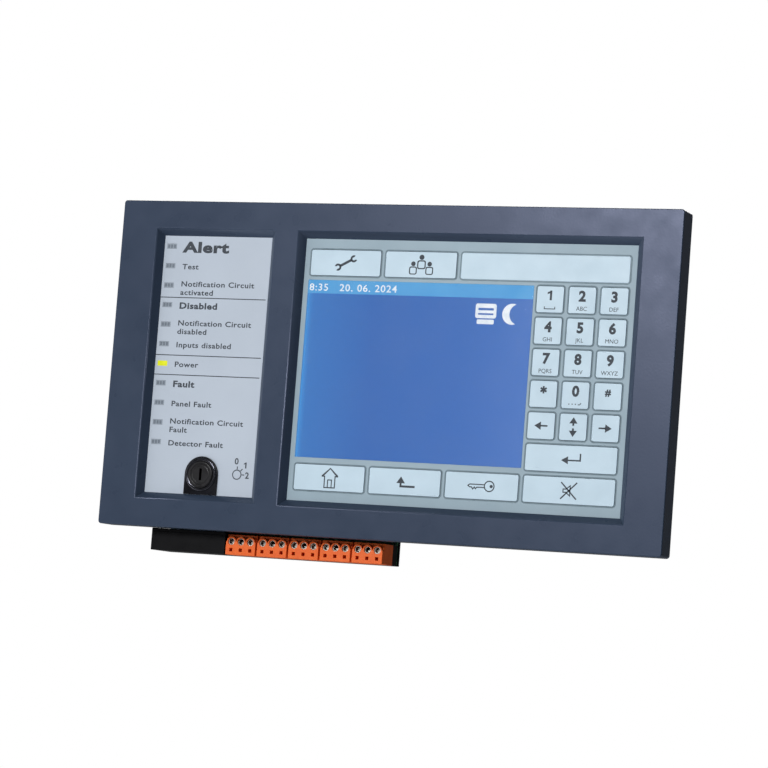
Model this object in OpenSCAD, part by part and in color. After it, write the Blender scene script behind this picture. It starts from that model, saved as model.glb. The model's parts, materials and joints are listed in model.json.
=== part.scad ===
// Fire alarm control panel: a moulded front frame with an indicator panel and key switch on the
// left, a display with its keypad on the right, and a row of plug-in terminals below it.
// Origin: centre of the rear mounting face. +Y points into the wall, the front looks along -Y.

/* [Front frame] */
// Width of the front frame
frame_w = 290; // [240:1:360]
// Height of the front frame
frame_h = 161; // [134:1:200]
// Depth from the wall to the front face
body_d = 60; // [50:1:90]
// Depth of the frame's skirt
rim_d = 13.2; // [11:0.1:16]
// Wall of the frame's skirt
skirt_wall = 3; // [2:0.25:4]
// Radius of the frame's corners
frame_corner_r = 1.5; // [0.5:0.25:4]
// Border left of the indicator panel
left_border = 22.25; // [18:0.25:30]
// Border right of the keypad
right_border = 22.4; // [18:0.25:30]
// Border above and below both recesses
end_border = 16.9; // [14:0.1:24]
// Bar between the two recesses
middle_bar = 18.55; // [14:0.05:26]
// Depth of both recesses
recess_d = 4; // [3:0.25:6]
// Sideways slope of the recess walls
recess_slope = 3.1; // [1:0.1:4]

/* [Indicator panel] */
// Width of the indicator panel that shows
label_w = 58.1; // [48:0.1:70]
// Thickness of the indicator panel
label_t = 1; // [0.8:0.1:2]
// Hidden lip of both inserts behind the frame
insert_lip = 3; // [2:0.25:4]
// Number of indicators
indicator_count = 11; // [6:1:11]
// Number of the lit power indicator, counted from the top
power_indicator = 7; // [1:1:11]
// Width of an indicator window
indicator_w = 5.3; // [4:0.1:7]
// Height of an indicator window
indicator_h = 2.6; // [2:0.1:4]
// Distance of the indicators from the panel's left edge
indicator_inset = 3.95; // [3.7:0.05:8]
// Distance of the first indicator from the panel's top edge
indicator_top = 5.2; // [4:0.1:9]
// Height kept free below the indicators for the key switch
lock_zone = 25; // [22:0.5:34]

/* [Key switch] */
// Distance of the key switch from the panel's left edge
lock_inset = 30.25; // [18:0.25:36]
// Distance of the key switch from the panel's bottom edge
lock_rise = 9.9; // [9.5:0.1:12]
// Radius of the black surround
lock_surround_r = 8.9; // [8:0.1:9.4]
// Radius of the bright ring round the barrel
lock_ring_r = 8.2; // [7.5:0.1:8.8]
// Thickness of the bright ring
lock_ring_t = 0.6; // [0.4:0.1:1]
// Radius of the barrel's face inside the ring
lock_face_r = 6.6; // [6.2:0.1:7]
// Radius of the threaded barrel behind the panel
lock_thread_r = 6.1; // [5.7:0.1:6.5]
// Radius of the turning cylinder
lock_plug_r = 5; // [4:0.1:5.5]
// Length of the lock behind the panel
lock_len = 19; // [15:0.5:22]
// Width of the keyway
keyway_w = 1.3; // [1:0.1:2]
// Height of the keyway
keyway_h = 5.8; // [4:0.1:7]

/* [Keypad] */
// Thickness of the keypad plate
keypad_t = 1.5; // [1:0.1:2.5]
// Margin between the recess edge and the keys, sideways
key_margin_x = 3.05; // [2:0.05:5]
// Margin between the recess edge and the keys, up and down
key_margin_z = 5.1; // [4:0.1:7]
// Pitch of the number keys, sideways
number_pitch = 15.85; // [13:0.05:19.2]
// Bar between two keys, sideways
key_bar_x = 2.2; // [1.8:0.1:3]
// Bar between two keys, up and down
key_bar_z = 2.05; // [1.8:0.05:3]
// Gap round a key cap
key_gap = 0.2; // [0.15:0.05:0.4]
// Height of a key cap above the plate
key_rise = 0.3; // [0.1:0.1:1]
// Travel of a key
key_travel = 0.5; // [0.3:0.1:1]
// Radius of the caps' corners
key_corner_r = 1.2; // [0.5:0.1:2]
// Width of the rim that holds a cap behind the plate
key_flange = 0.7; // [0.4:0.1:0.8]
// Radius of a key's plunger
plunger_r = 1.6; // [1:0.1:2.5]
// Radius of a snap dome
dome_r = 4; // [3:0.1:5]

/* [Display] */
// How far the display reaches past the keys on each side
display_reach = 0.6; // [0:0.1:0.8]
// Strip left free below the display
display_foot = 1; // [0:0.1:2]
// Thickness of the clear display window
window_t = 1.2; // [1:0.1:1.4]
// Thickness of the liquid crystal cell
cell_t = 1.8; // [1.2:0.1:2.5]
// Wall of the display holder
holder_wall = 1.5; // [1:0.1:2]
// Depth of the display holder
holder_d = 10; // [7:0.5:12]

/* [Housing] */
// Inset of the housing from the frame's left and right edges
housing_inset_x = 17; // [14:0.5:24]
// Inset of the housing from the frame's top and bottom edges
housing_inset_z = 5.5; // [4.5:0.5:8]
// Wall of the housing
housing_wall = 2.5; // [2:0.25:4]
// Thickness of the housing's flange
flange_t = 2.5; // [2:0.25:4]
// Length of a cooling slot
vent_len = 22; // [12:1:30]
// Width of a cooling slot
vent_w = 2.4; // [1.5:0.1:3.5]
// Number of cooling slots on each side
vent_count = 7; // [3:1:8]
// Number of cooling slots in the top
top_vent_count = 9; // [3:1:11]

/* [Mounting] */
// Distance of the mounting holes from the housing's left and right walls
mount_inset_x = 28; // [22:1:60]
// Distance of the mounting holes from the housing's top and bottom walls
mount_inset_z = 25; // [20:1:40]
// Radius of the mounting thread
mount_hole_r = 2; // [1.5:0.5:2.5]
// Outer radius of a threaded insert
insert_r = 3.2; // [3:0.1:4]
// Length of a threaded insert
insert_len = 8; // [6:0.5:10]
// Radius of a screw's shank
screw_r = 1.5; // [1.25:0.05:2]
// Radius of a screw's head
screw_head_r = 2.8; // [2.5:0.1:3.5]
// Height of a screw's head
screw_head_t = 1.8; // [1.2:0.1:2.4]

/* [Terminals] */
// Distance of the terminal strip from the frame's left edge
strip_inset = 24; // [18:0.5:40]
// Width of the blank cover left of the plugs
blank_w = 40.3; // [20:0.1:48]
// Number of poles in a plug
pole_count = 3; // [2:1:3]
// Distance between two poles
pole_pitch = 5.08; // [4:0.02:6.2]
// Material of a plug outside its outer poles
plug_side = 0.3; // [0.2:0.05:0.6]
// Gap between two plugs
plug_gap = 0.9; // [0.5:0.05:2]
// Distance from the frame's front face to the plugs
plug_set_back = 12; // [10:0.5:16]
// Height of a plug
plug_h = 9.9; // [9:0.1:13]
// Depth of a plug in front of its header
plug_d = 13; // [9:0.1:14]
// Depth of the plug's arched front
arch_d = 2.2; // [1:0.1:4]
// Gap between the frame and the plugs below it
strip_gap = 1; // [0.5:0.1:3]
// Radius of a wire entry
wire_r = 1.7; // [1.2:0.1:1.8]
// Depth of a header
header_d = 5.6; // [5:0.1:9]
// Wall of a header
header_wall = 0.9; // [0.7:0.1:1.2]
// Side of a header pin
pin_w = 1; // [0.8:0.1:1.2]

/* [Electronics] */
// Thickness of each printed circuit board
board_t = 1.6; // [1:0.1:2]
// Gap between a board and the wall beside it
board_gap = 1.5; // [1:0.25:3]
// Radius of the sounder
sounder_r = 11; // [8:0.5:13]
// Height of the sounder
sounder_t = 6; // [4:0.5:8]
// Radius of the coin cell
coin_r = 10; // [8:0.5:12]
// Thickness of the coin cell
coin_t = 3.2; // [2:0.1:4]
// Width of the ribbon cable
ribbon_w = 20; // [10:1:30]

/* [Hidden] */
PLUGS = 5;

round_fn = 48;      // sides of a round cut or pin
eps = 0.01;         // overlap that keeps a cut clean
fit = 0.05;         // gap of a fixed fit
slack = 0.3;        // gap of a loose fit

// Depth positions, from the front to the wall
front_y = -body_d;
panel_y = front_y + recess_d;           // face of both inserts
skirt_y = front_y + rim_d;              // rear edge of the frame's skirt
flange_y = skirt_y - flange_t;          // front of the housing's flange
plug_y = front_y + plug_set_back;       // front of the plugs
header_y = plug_y + plug_d + fit;       // front of the headers
board_y = header_y + header_d;          // front of the main board
keypad_back_y = panel_y + keypad_t;
cap_back_y = keypad_back_y + fit;       // front of the caps' rims
cap_rim_t = 0.8;
plunger_y = cap_back_y + cap_rim_t;
plunger_len = 1.4;
dome_t = 0.3;                           // height of a pressed dome
dome_y = plunger_y + plunger_len + key_travel;
keypad_board_y = dome_y + dome_t;

// The recesses, as [left, right, bottom, top]
half_w = frame_w / 2;
half_h = frame_h / 2;
label_area = [-half_w + left_border, -half_w + left_border + label_w,
    -half_h + end_border, half_h - end_border];
keypad_area = [label_area[1] + middle_bar, half_w - right_border, label_area[2], label_area[3]];
area_h = label_area[3] - label_area[2];

// Keypad grid: three wide columns above and below the display, three number columns beside it
row_count = 8;
row_pitch = (area_h - 2 * key_margin_z + key_bar_z) / row_count;
key_h = row_pitch - key_bar_z;
number_w = number_pitch - key_bar_x;
keys_x0 = keypad_area[0] + key_margin_x;
keys_x1 = keypad_area[1] - key_margin_x;
numbers_x0 = keys_x1 - 3 * number_pitch + key_bar_x;
wide_pitch = (numbers_x0 - keys_x0) / 3;
wide_w = wide_pitch - key_bar_x;
rows_z1 = keypad_area[3] - key_margin_z;
function row_z0(row) = rows_z1 - row * row_pitch - key_h;
function wide_key(column, row) = [keys_x0 + column * wide_pitch,
    keys_x0 + column * wide_pitch + wide_w, row_z0(row), row_z0(row) + key_h];
function number_key(column, row, span = 1) = [numbers_x0 + column * number_pitch,
    numbers_x0 + (column + span) * number_pitch - key_bar_x, row_z0(row), row_z0(row) + key_h];

// Every key as [name, [left, right, bottom, top]]
number_rows = [["1", "2", "3"], ["4", "5", "6"], ["7", "8", "9"], ["star", "0", "hash"],
    ["left", "up_down", "right"]];
keys = concat(
    [for (row = [0:4]) for (column = [0:2])
        [number_rows[row][column], number_key(column, row + 1)]],
    [["enter", number_key(0, 6, 3)], ["mute", number_key(0, 7, 3)],
     ["home", wide_key(0, 7)], ["back", wide_key(1, 7)], ["access", wide_key(2, 7)],
     ["service", wide_key(0, 0)], ["groups", wide_key(1, 0)]]);

// Display opening in the keypad plate
display_area = [keys_x0 - display_reach, keys_x0 + 3 * wide_pitch - key_bar_x + display_reach,
    row_z0(6) + display_foot, row_z0(1) + key_h];
cell_y = panel_y + window_t + fit;      // front of the liquid crystal cell
holder_y = cell_y + cell_t;             // front of the display holder

// Indicators
indicator_pitch = (area_h - indicator_top - lock_zone) / (indicator_count - 1);
indicator_x = label_area[0] + indicator_inset;
function indicator_z(i) = label_area[3] - indicator_top - i * indicator_pitch;
indicator_board_y = keypad_board_y;
led_t = 1.2;

// Key switch
lock_x = label_area[0] + lock_inset;
lock_z = label_area[2] + lock_rise;
surround_t = 0.8;
lock_rise_y = 1.7;                      // the barrel stands this far out of the panel
lock_front_y = panel_y - lock_rise_y;
lock_back_y = panel_y + label_t + lock_len;
nut_r = lock_thread_r + 2.5;
nut_t = 2.5;
switch_t = 5.5;
cam_len = 2;

// Housing
housing_x = half_w - housing_inset_x;
housing_z = half_h - housing_inset_z;
mount_x = housing_x - mount_inset_x;
mount_z = housing_z - mount_inset_z;
boss_r = 4;
boss_x = (half_w - skirt_wall + housing_x) / 2;   // bosses stand outside the housing's walls
boss_zs = [-half_h + skirt_wall + boss_r + 2, 0, half_h - skirt_wall - boss_r - 2];
screw_bite = 4;                         // thread length in a boss

// Main board and its six stand-offs
board_x = housing_x - housing_wall - board_gap;
board_z = housing_z - housing_wall - board_gap;
standoff_r = 3.5;
standoff_inset = 6;
cell_x = board_x - 34;                  // the coin cell and the sounder stand one above the other
cell_z = 30;
sounder_z = -20;
standoffs = [for (x = [-1, 0, 1]) for (z = [-1, 1])
    [x * (board_x - standoff_inset), z * (board_z - standoff_inset)]];

// Terminal strip
plug_w = pole_count * pole_pitch + 2 * plug_side;
plug_pitch = plug_w + plug_gap;
strip_x0 = -half_w + strip_inset;
plugs_x0 = strip_x0 + blank_w + plug_gap / 2;
strip_x1 = plugs_x0 + (PLUGS - 1) * plug_pitch + plug_w;
plug_z1 = -half_h - strip_gap;
plug_z0 = plug_z1 - plug_h;
arch_r = pole_pitch / 2 - 0.1;
entry_z = plug_z1 - arch_r - 1;
slot_w = 1.6;
slot_z = plug_z0 + 2.4;
tongue_in = header_wall + slack;        // how far the plug's tongue is inset from its outline
tongue_len = header_d - header_wall - slack;
carrier_t = 2;
carrier_y = board_y + board_t + fit;    // front of the carrier's back plate
carrier_foot = 14;                      // depth of the carrier's foot under the housing
carrier_screws_x = [strip_x0 + 10, (strip_x0 + strip_x1) / 2, strip_x1 - 10];
carrier_screw_y = carrier_y + carrier_t + 5;
function plug_x0(i) = plugs_x0 + i * plug_pitch;
function pole_x(i, pole) = plug_x0(i) + plug_side + (pole + 0.5) * pole_pitch;

// Service sockets on the underside, right of the strip
jack_w = 16;
jack_d = 13.5;
jack_h = 18;
jack_x = strip_x1 + 24;
usb_w = 13.2;
usb_d = 6;
usb_h = 14;
usb_x = jack_x + 26;

module block(x0, x1, y0, y1, z0, z1) {
    translate([x0, y0, z0]) cube([x1 - x0, y1 - y0, z1 - z0]);
}

// A block over an area given as [left, right, bottom, top], grown by a margin
module area_block(area, y0, y1, grow = 0) {
    block(area[0] - grow, area[1] + grow, y0, y1, area[2] - grow, area[3] + grow);
}

// A rod along Y
module rod(x, z, y0, y1, r) {
    translate([x, y1, z]) rotate([90, 0, 0]) cylinder(h = y1 - y0, r = r, $fn = round_fn);
}

// An area_block whose four corners are round, built from blocks and rods
module round_block(area, y0, y1, r, grow = 0) {
    x0 = area[0] - grow;
    x1 = area[1] + grow;
    z0 = area[2] - grow;
    z1 = area[3] + grow;
    union() {
        block(x0 + r, x1 - r, y0, y1, z0, z1);
        block(x0, x1, y0, y1, z0 + r, z1 - r);
        for (x = [x0 + r, x1 - r]) for (z = [z0 + r, z1 - r]) rod(x, z, y0, y1, r);
    }
}

// The space of a recess, wider at the front face than at its floor
module recess_cut(area) {
    s = recess_slope * (recess_d + 2 * eps) / recess_d;
    y0 = front_y - eps;
    y1 = panel_y + eps;
    front = [for (c = [[-1, -1], [1, -1], [1, 1], [-1, 1]])
        [c[0] < 0 ? area[0] - s : area[1] + s, y0, c[1] < 0 ? area[2] - s : area[3] + s]];
    rear = [for (c = [[-1, -1], [1, -1], [1, 1], [-1, 1]])
        [c[0] < 0 ? area[0] : area[1], y1, c[1] < 0 ? area[2] : area[3]]];
    polyhedron(points = concat(front, rear), faces = [[3, 2, 1, 0], [4, 5, 6, 7],
        [0, 1, 5, 4], [1, 2, 6, 5], [2, 3, 7, 6], [3, 0, 4, 7]]);
}

module front_frame() {
    color("#4a5263") difference() {
        union() {
            difference() {
                round_block([-half_w, half_w, -half_h, half_h], front_y, skirt_y, frame_corner_r);
                area_block([-half_w, half_w, -half_h, half_h], panel_y, skirt_y + eps, -skirt_wall);
            }
            for (x = [-boss_x, boss_x]) for (z = boss_zs)
                rod(x, z, panel_y - eps, flange_y, boss_r);
        }
        recess_cut(label_area);
        recess_cut(keypad_area);
        for (x = [-boss_x, boss_x]) for (z = boss_zs)
            rod(x, z, flange_y - screw_bite, flange_y + eps, screw_r);
    }
}

// Plate that closes the frame's skirt and carries the housing in its window
module mounting_plate() {
    plate_x = half_w - skirt_wall - slack;
    plate_z = half_h - skirt_wall - slack;
    color("#2b2e35") difference() {
        area_block([-plate_x, plate_x, -plate_z, plate_z], flange_y, skirt_y);
        area_block([-housing_x, housing_x, -housing_z, housing_z], flange_y - eps,
            skirt_y + eps, fit);
        for (x = [-boss_x, boss_x]) for (z = boss_zs)
            rod(x, z, flange_y - eps, skirt_y + eps, screw_r + fit);
    }
}

module rear_housing() {
    inner_x = housing_x - housing_wall;
    inner_z = housing_z - housing_wall;
    color("#2b2e35") difference() {
        area_block([-housing_x, housing_x, -housing_z, housing_z], flange_y, 0);
        difference() {
            area_block([-inner_x, inner_x, -inner_z, inner_z], flange_y - eps, -housing_wall);
            for (s = standoffs)
                rod(s[0], s[1], board_y + board_t, 0, standoff_r);
            for (x = [-mount_x, mount_x]) for (z = [-mount_z, mount_z])
                rod(x, z, -insert_len - 1, 0, insert_r + 2);
        }
        for (s = standoffs)
            rod(s[0], s[1], board_y + board_t - eps, board_y + board_t + screw_bite, screw_r);
        for (x = [-mount_x, mount_x]) for (z = [-mount_z, mount_z])
            rod(x, z, -insert_len, eps, insert_r);
        area_block([label_area[0], keypad_area[1], label_area[2], label_area[3]],
            keypad_back_y, keypad_board_y + board_t + slack, insert_lip);
        housing_vents();
        strip_slots();
    }
}

// Cooling slots in the housing's left, right and top walls
module housing_vents() {
    vent_margin = 15;
    pitch = 2 * (housing_z - vent_margin) / vent_count;
    top_pitch = 2 * (housing_x - 2 * vent_margin) / top_vent_count;
    y0 = skirt_y + 10;
    y1 = y0 + vent_len;
    for (side = [-1, 1]) for (i = [0:vent_count - 1])
        translate([side * (housing_x - housing_wall / 2), 0, (i - (vent_count - 1) / 2) * pitch])
            block(-housing_wall, housing_wall, y0, y1, -vent_w / 2, vent_w / 2);
    for (i = [0:top_vent_count - 1])
        translate([(i - (top_vent_count - 1) / 2) * top_pitch, 0, housing_z - housing_wall / 2])
            block(-vent_w / 2, vent_w / 2, y0, y1, -housing_wall, housing_wall);
}

// Openings in the housing's bottom wall for the board's tab, the sockets and the carrier's screws
module strip_slots() {
    z0 = -housing_z - eps;
    z1 = -housing_z + housing_wall + eps;
    block(strip_x0 + 2, strip_x1, board_y - slack, board_y + board_t + slack, z0, z1);
    block(jack_x - slack, jack_x + jack_w + slack, board_y - jack_d - slack, board_y, z0, z1);
    block(usb_x - slack, usb_x + usb_w + slack, board_y - usb_d - slack, board_y, z0, z1);
    for (x = carrier_screws_x)
        translate([x, carrier_screw_y, z0]) cylinder(h = z1 - z0, r = screw_r, $fn = round_fn);
}

module label_insert() {
    color("#bcc4d0") difference() {
        area_block(label_area, panel_y, panel_y + label_t, insert_lip);
        for (i = [0:indicator_count - 1])
            block(indicator_x - indicator_w / 2, indicator_x + indicator_w / 2, panel_y - eps,
                panel_y + label_t + eps, indicator_z(i) - indicator_h / 2,
                indicator_z(i) + indicator_h / 2);
        rod(lock_x, lock_z, panel_y - eps, panel_y + label_t + eps, lock_thread_r + fit);
    }
}

// One light guide: a window lens with a foot that reaches its lamp
module light_guide(i) {
    z = indicator_z(i);
    w = indicator_w / 2 - fit;
    h = indicator_h / 2 - fit;
    foot = 0.6;
    union() {
        block(indicator_x - w, indicator_x + w, panel_y, panel_y + label_t + eps, z - h, z + h);
        block(indicator_x - w - foot, indicator_x + w + foot, panel_y + label_t,
            indicator_board_y - led_t, z - h - foot, z + h + foot);
    }
}

module indicator_lenses() {
    color("#8e98a5") for (i = [0:indicator_count - 1]) if (i != power_indicator - 1) light_guide(i);
}

module power_lens() {
    color("#e6eb32") light_guide(power_indicator - 1);
}

module indicator_leds() {
    color("#f0efe6") for (i = [0:indicator_count - 1])
        block(indicator_x - 1.6, indicator_x + 1.6, indicator_board_y - led_t, indicator_board_y,
            indicator_z(i) - 0.8, indicator_z(i) + 0.8);
}

module indicator_board() {
    lowest = indicator_z(indicator_count - 1) - 4;
    x0 = label_area[0] - 1;
    x1 = label_area[0] + 22;
    color("#2f6b45") block(x0, x1, indicator_board_y, indicator_board_y + board_t,
        lowest, label_area[3]);
}

module keypad_plate() {
    post_r = 0.9;
    color("#b0bec7") difference() {
        union() {
            area_block(keypad_area, panel_y, keypad_back_y, insert_lip);
            for (x = [keypad_area[0] - post_r, (keypad_area[0] + keypad_area[1]) / 2,
                    keypad_area[1] + post_r])
                for (z = [keypad_area[2] - post_r, keypad_area[3] + post_r])
                    rod(x, z, keypad_back_y - eps, keypad_board_y, post_r);
        }
        area_block(display_area, panel_y - eps, keypad_back_y + eps);
        for (key = keys)
            round_block(key[1], panel_y - eps, keypad_back_y + eps, key_corner_r);
    }
}

// A cap with a rim that holds it behind the plate and a plunger above its dome
module key_cap(name) {
    for (key = keys) if (key[0] == name) {
        x = (key[1][0] + key[1][1]) / 2;
        z = (key[1][2] + key[1][3]) / 2;
        color("#c8dce8") union() {
            round_block(key[1], panel_y - key_rise, cap_back_y + eps, key_corner_r - key_gap,
                -key_gap);
            area_block(key[1], cap_back_y, plunger_y, key_flange);
            rod(x, z, plunger_y - eps, plunger_y + plunger_len, plunger_r);
        }
    }
}

module snap_domes() {
    color("silver") for (key = keys)
        rod((key[1][0] + key[1][1]) / 2, (key[1][2] + key[1][3]) / 2, dome_y, keypad_board_y,
            dome_r);
}

module keypad_board() {
    color("#2f6b45") difference() {
        area_block(keypad_area, keypad_board_y, keypad_board_y + board_t, insert_lip - 1);
        area_block(display_area, keypad_board_y - eps, keypad_board_y + board_t + eps,
            slack + fit);
    }
}

module display_window() {
    color("#5f9fd0") area_block(display_area, panel_y, panel_y + window_t, -fit);
}

module display_cell() {
    color("#4873b9") area_block(display_area, cell_y, holder_y, -fit);
}

module display_holder() {
    rim_y = keypad_board_y + board_t;
    color("#1b1c20") difference() {
        union() {
            area_block(display_area, holder_y, holder_y + holder_d, -fit);
            area_block(display_area, rim_y, rim_y + 1, 3);
        }
        area_block(display_area, holder_y - eps, holder_y + holder_d - holder_wall,
            -fit - holder_wall);
    }
}

module display_backlight() {
    color("white") area_block(display_area, holder_y + fit, holder_y + holder_d - holder_wall - fit,
        -2 * fit - holder_wall);
}

module lock_surround() {
    z0 = label_area[2] + fit;
    color("#16181f") difference() {
        union() {
            rod(lock_x, lock_z, panel_y - surround_t, panel_y, lock_surround_r);
            block(lock_x - lock_surround_r, lock_x + lock_surround_r, panel_y - surround_t,
                panel_y, z0, lock_z);
        }
        rod(lock_x, lock_z, panel_y - surround_t - eps, panel_y + eps, lock_thread_r + fit);
    }
}

// Bright washer round the barrel, on top of the surround
module lock_ring() {
    rear = panel_y - surround_t;
    color("silver") difference() {
        rod(lock_x, lock_z, rear - lock_ring_t, rear, lock_ring_r);
        rod(lock_x, lock_z, rear - lock_ring_t - eps, rear + eps, lock_face_r);
    }
}

module lock_barrel() {
    color("#1a1b20") difference() {
        union() {
            rod(lock_x, lock_z, lock_front_y, panel_y - surround_t, lock_face_r - fit);
            rod(lock_x, lock_z, panel_y - surround_t - eps, lock_back_y, lock_thread_r);
        }
        rod(lock_x, lock_z, lock_front_y - eps, lock_back_y + eps, lock_plug_r + 2 * fit);
    }
}

// The cylinder turns in the barrel and drives the switch with the square end of its tail
module lock_cylinder() {
    color("#24252b") difference() {
        union() {
            rod(lock_x, lock_z, lock_front_y + 0.2, lock_back_y, lock_plug_r);
            rod(lock_x, lock_z, lock_back_y - eps, lock_back_y + cam_len, lock_plug_r - 1.5);
        }
        block(lock_x - keyway_w / 2, lock_x + keyway_w / 2, lock_front_y, lock_front_y + 12,
            lock_z - keyway_h / 2, lock_z + keyway_h / 2);
    }
}

module lock_nut() {
    y0 = panel_y + label_t + fit;
    color("silver") difference() {
        translate([lock_x, y0 + nut_t, lock_z]) rotate([90, 0, 0])
            cylinder(h = nut_t, r = nut_r, $fn = 6);
        rod(lock_x, lock_z, y0 - eps, y0 + nut_t + eps, lock_thread_r + fit);
    }
}

// The switch block surrounds the cylinder's tail and carries two contact tags
module lock_switch() {
    tag_x = 3;
    tag_w = 0.8;
    tag_len = 5;
    s = lock_thread_r;
    color("#8b1f1f") union() {
        difference() {
            block(lock_x - s, lock_x + s, lock_back_y, lock_back_y + switch_t, lock_z - s,
                lock_z + s);
            rod(lock_x, lock_z, lock_back_y - eps, lock_back_y + cam_len + 0.5,
                lock_plug_r - 1.2);
        }
        for (x = [-1, 1])
            block(lock_x + x * tag_x - tag_w / 2, lock_x + x * tag_x + tag_w / 2, lock_back_y + 1,
                lock_back_y + switch_t - 1, lock_z + s - eps, lock_z + s + tag_len);
    }
}

module main_board() {
    color("#2f6b45") difference() {
        union() {
            block(-board_x, board_x, board_y, board_y + board_t, -board_z, board_z);
            block(strip_x0 + 2.5, strip_x1 - 0.5, board_y, board_y + board_t, plug_z0 + 0.5, 0);
        }
        for (s = standoffs) rod(s[0], s[1], board_y - eps, board_y + board_t + eps, screw_r + fit);
    }
}

// Processor, memory, line drivers, a row of capacitors and the coin cell's holder
module board_components() {
    chip_t = 1.6;
    color("#202126") {
        block(-20, 4, board_y - chip_t, board_y, -2, 22);
        block(14, 30, board_y - chip_t, board_y, 0, 10);
        block(14, 30, board_y - chip_t, board_y, 14, 24);
        for (i = [0:PLUGS - 1])
            block(plug_x0(i) + 4, plug_x0(i) + 12, board_y - chip_t, board_y, -50, -45);
        difference() {
            rod(cell_x, cell_z, board_y - coin_t - 1.5, board_y, coin_r + 1.5);
            rod(cell_x, cell_z, board_y - coin_t - 1.5 - eps, board_y - 1, coin_r + 2 * fit);
        }
    }
    color("#1f3c78") for (i = [0:PLUGS - 1])
        rod(plug_x0(i) + plug_w / 2, -36, board_y - 9, board_y, 3.2);
}

module sounder() {
    sound_hole_r = 1.5;
    color("#1b1c20") difference() {
        rod(cell_x, sounder_z, board_y - sounder_t, board_y, sounder_r);
        rod(cell_x, sounder_z, board_y - sounder_t - eps, board_y - sounder_t + 2, sound_hole_r);
    }
}

module coin_cell() {
    color("silver") rod(cell_x, cell_z, board_y - coin_t - 1 - fit, board_y - 1 - fit, coin_r);
}

// Flat cable from the keypad board to the main board, with its two connectors
module ribbon_cable() {
    x0 = display_area[1] + 8;
    z = -52;
    y0 = keypad_board_y + board_t;
    color("#9aa0a8") union() {
        block(x0, x0 + ribbon_w, y0, y0 + 4, z, z + 5);
        block(x0, x0 + ribbon_w, board_y - 4, board_y, z, z + 5);
        block(x0 + 1, x0 + ribbon_w - 1, y0 + 4 - eps, board_y - 4 + eps, z + 2, z + 3);
    }
}

// Black carrier: the blank cover, a plate behind the board's tab and a foot under the housing
module terminal_carrier() {
    cover_x1 = strip_x0 + blank_w - fit;
    cover_z1 = -half_h - fit;
    cover_wall = 1.5;
    z0 = plug_z0;
    color("#15161a") difference() {
        union() {
            block(strip_x0, cover_x1, plug_y, board_y - fit, z0, cover_z1);
            block(strip_x0, strip_x0 + 2, plug_y, carrier_y + carrier_t, z0, cover_z1);
            block(strip_x0, strip_x1, carrier_y, carrier_y + carrier_t, z0, -housing_z);
            block(strip_x0, strip_x1, carrier_y, carrier_y + carrier_foot, -housing_z - carrier_t,
                -housing_z);
        }
        block(strip_x0 + 2, cover_x1 - cover_wall, plug_y + cover_wall, board_y, z0 + cover_wall,
            cover_z1 - cover_wall);
        for (x = carrier_screws_x)
            translate([x, carrier_screw_y, -housing_z - carrier_t - eps])
                cylinder(h = carrier_t + 2 * eps, r = screw_r + fit, $fn = round_fn);
    }
}

module terminal_headers() {
    color("#1d1e23") for (i = [0:PLUGS - 1]) difference() {
        block(plug_x0(i), plug_x0(i) + plug_w, header_y, board_y, plug_z0, plug_z1);
        block(plug_x0(i) + header_wall, plug_x0(i) + plug_w - header_wall, header_y - eps,
            board_y - header_wall, plug_z0 + header_wall, plug_z1 - header_wall);
        for (pole = [0:pole_count - 1])
            translate([pole_x(i, pole), board_y, (plug_z0 + plug_z1) / 2])
                cube([pin_w, 2 * header_wall + eps, pin_w], center = true);
    }
}

module header_pins() {
    z = (plug_z0 + plug_z1) / 2;
    y0 = header_y + 2.6;
    color("gold") for (i = [0:PLUGS - 1]) for (pole = [0:pole_count - 1])
        block(pole_x(i, pole) - pin_w / 2, pole_x(i, pole) + pin_w / 2, y0, board_y,
            z - pin_w / 2, z + pin_w / 2);
}

// A plug: arched front with wire entries and release slots, a body, and a tongue for the header
module terminal_plug(i) {
    x0 = plug_x0(i);
    x1 = x0 + plug_w;
    z = (plug_z0 + plug_z1) / 2;
    socket_w = pin_w + 2 * slack;
    color("#eb7840") difference() {
        union() {
            block(x0, x1, plug_y + arch_d, plug_y + plug_d, plug_z0, plug_z1);
            block(x0, x1, plug_y, plug_y + arch_d + eps, plug_z0, entry_z);
            for (pole = [0:pole_count - 1])
                rod(pole_x(i, pole), entry_z, plug_y, plug_y + arch_d + eps, arch_r);
            block(x0 + tongue_in, x1 - tongue_in, plug_y + plug_d - eps,
                plug_y + plug_d + tongue_len, plug_z0 + tongue_in, plug_z1 - tongue_in);
        }
        for (pole = [0:pole_count - 1]) {
            rod(pole_x(i, pole), entry_z, plug_y - eps, plug_y + plug_d - 3, wire_r);
            block(pole_x(i, pole) - slot_w / 2, pole_x(i, pole) + slot_w / 2, plug_y - eps,
                plug_y + 5, slot_z - slot_w / 2, slot_z + slot_w / 2);
            block(pole_x(i, pole) - socket_w / 2, pole_x(i, pole) + socket_w / 2,
                plug_y + plug_d + 0.6, plug_y + plug_d + tongue_len + eps, z - socket_w / 2,
                z + socket_w / 2);
        }
    }
}

// Network jack and service port, both open downward
module service_sockets() {
    z0 = -housing_z + 0.5;
    color("silver") difference() {
        block(jack_x, jack_x + jack_w, board_y - jack_d, board_y, z0, z0 + jack_h);
        block(jack_x + 2, jack_x + jack_w - 2, board_y - jack_d + 2.5, board_y - 2.5, z0 - eps,
            z0 + 13);
    }
    color("silver") difference() {
        block(usb_x, usb_x + usb_w, board_y - usb_d, board_y, z0, z0 + usb_h);
        difference() {
            block(usb_x + 0.4, usb_x + usb_w - 0.4, board_y - usb_d + 0.4, board_y - 0.4, z0 - eps,
                z0 + 11);
            block(usb_x + 1.2, usb_x + usb_w - 1.2, board_y - 2.6, board_y - 0.8, z0, z0 + 12);
        }
    }
}

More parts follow.
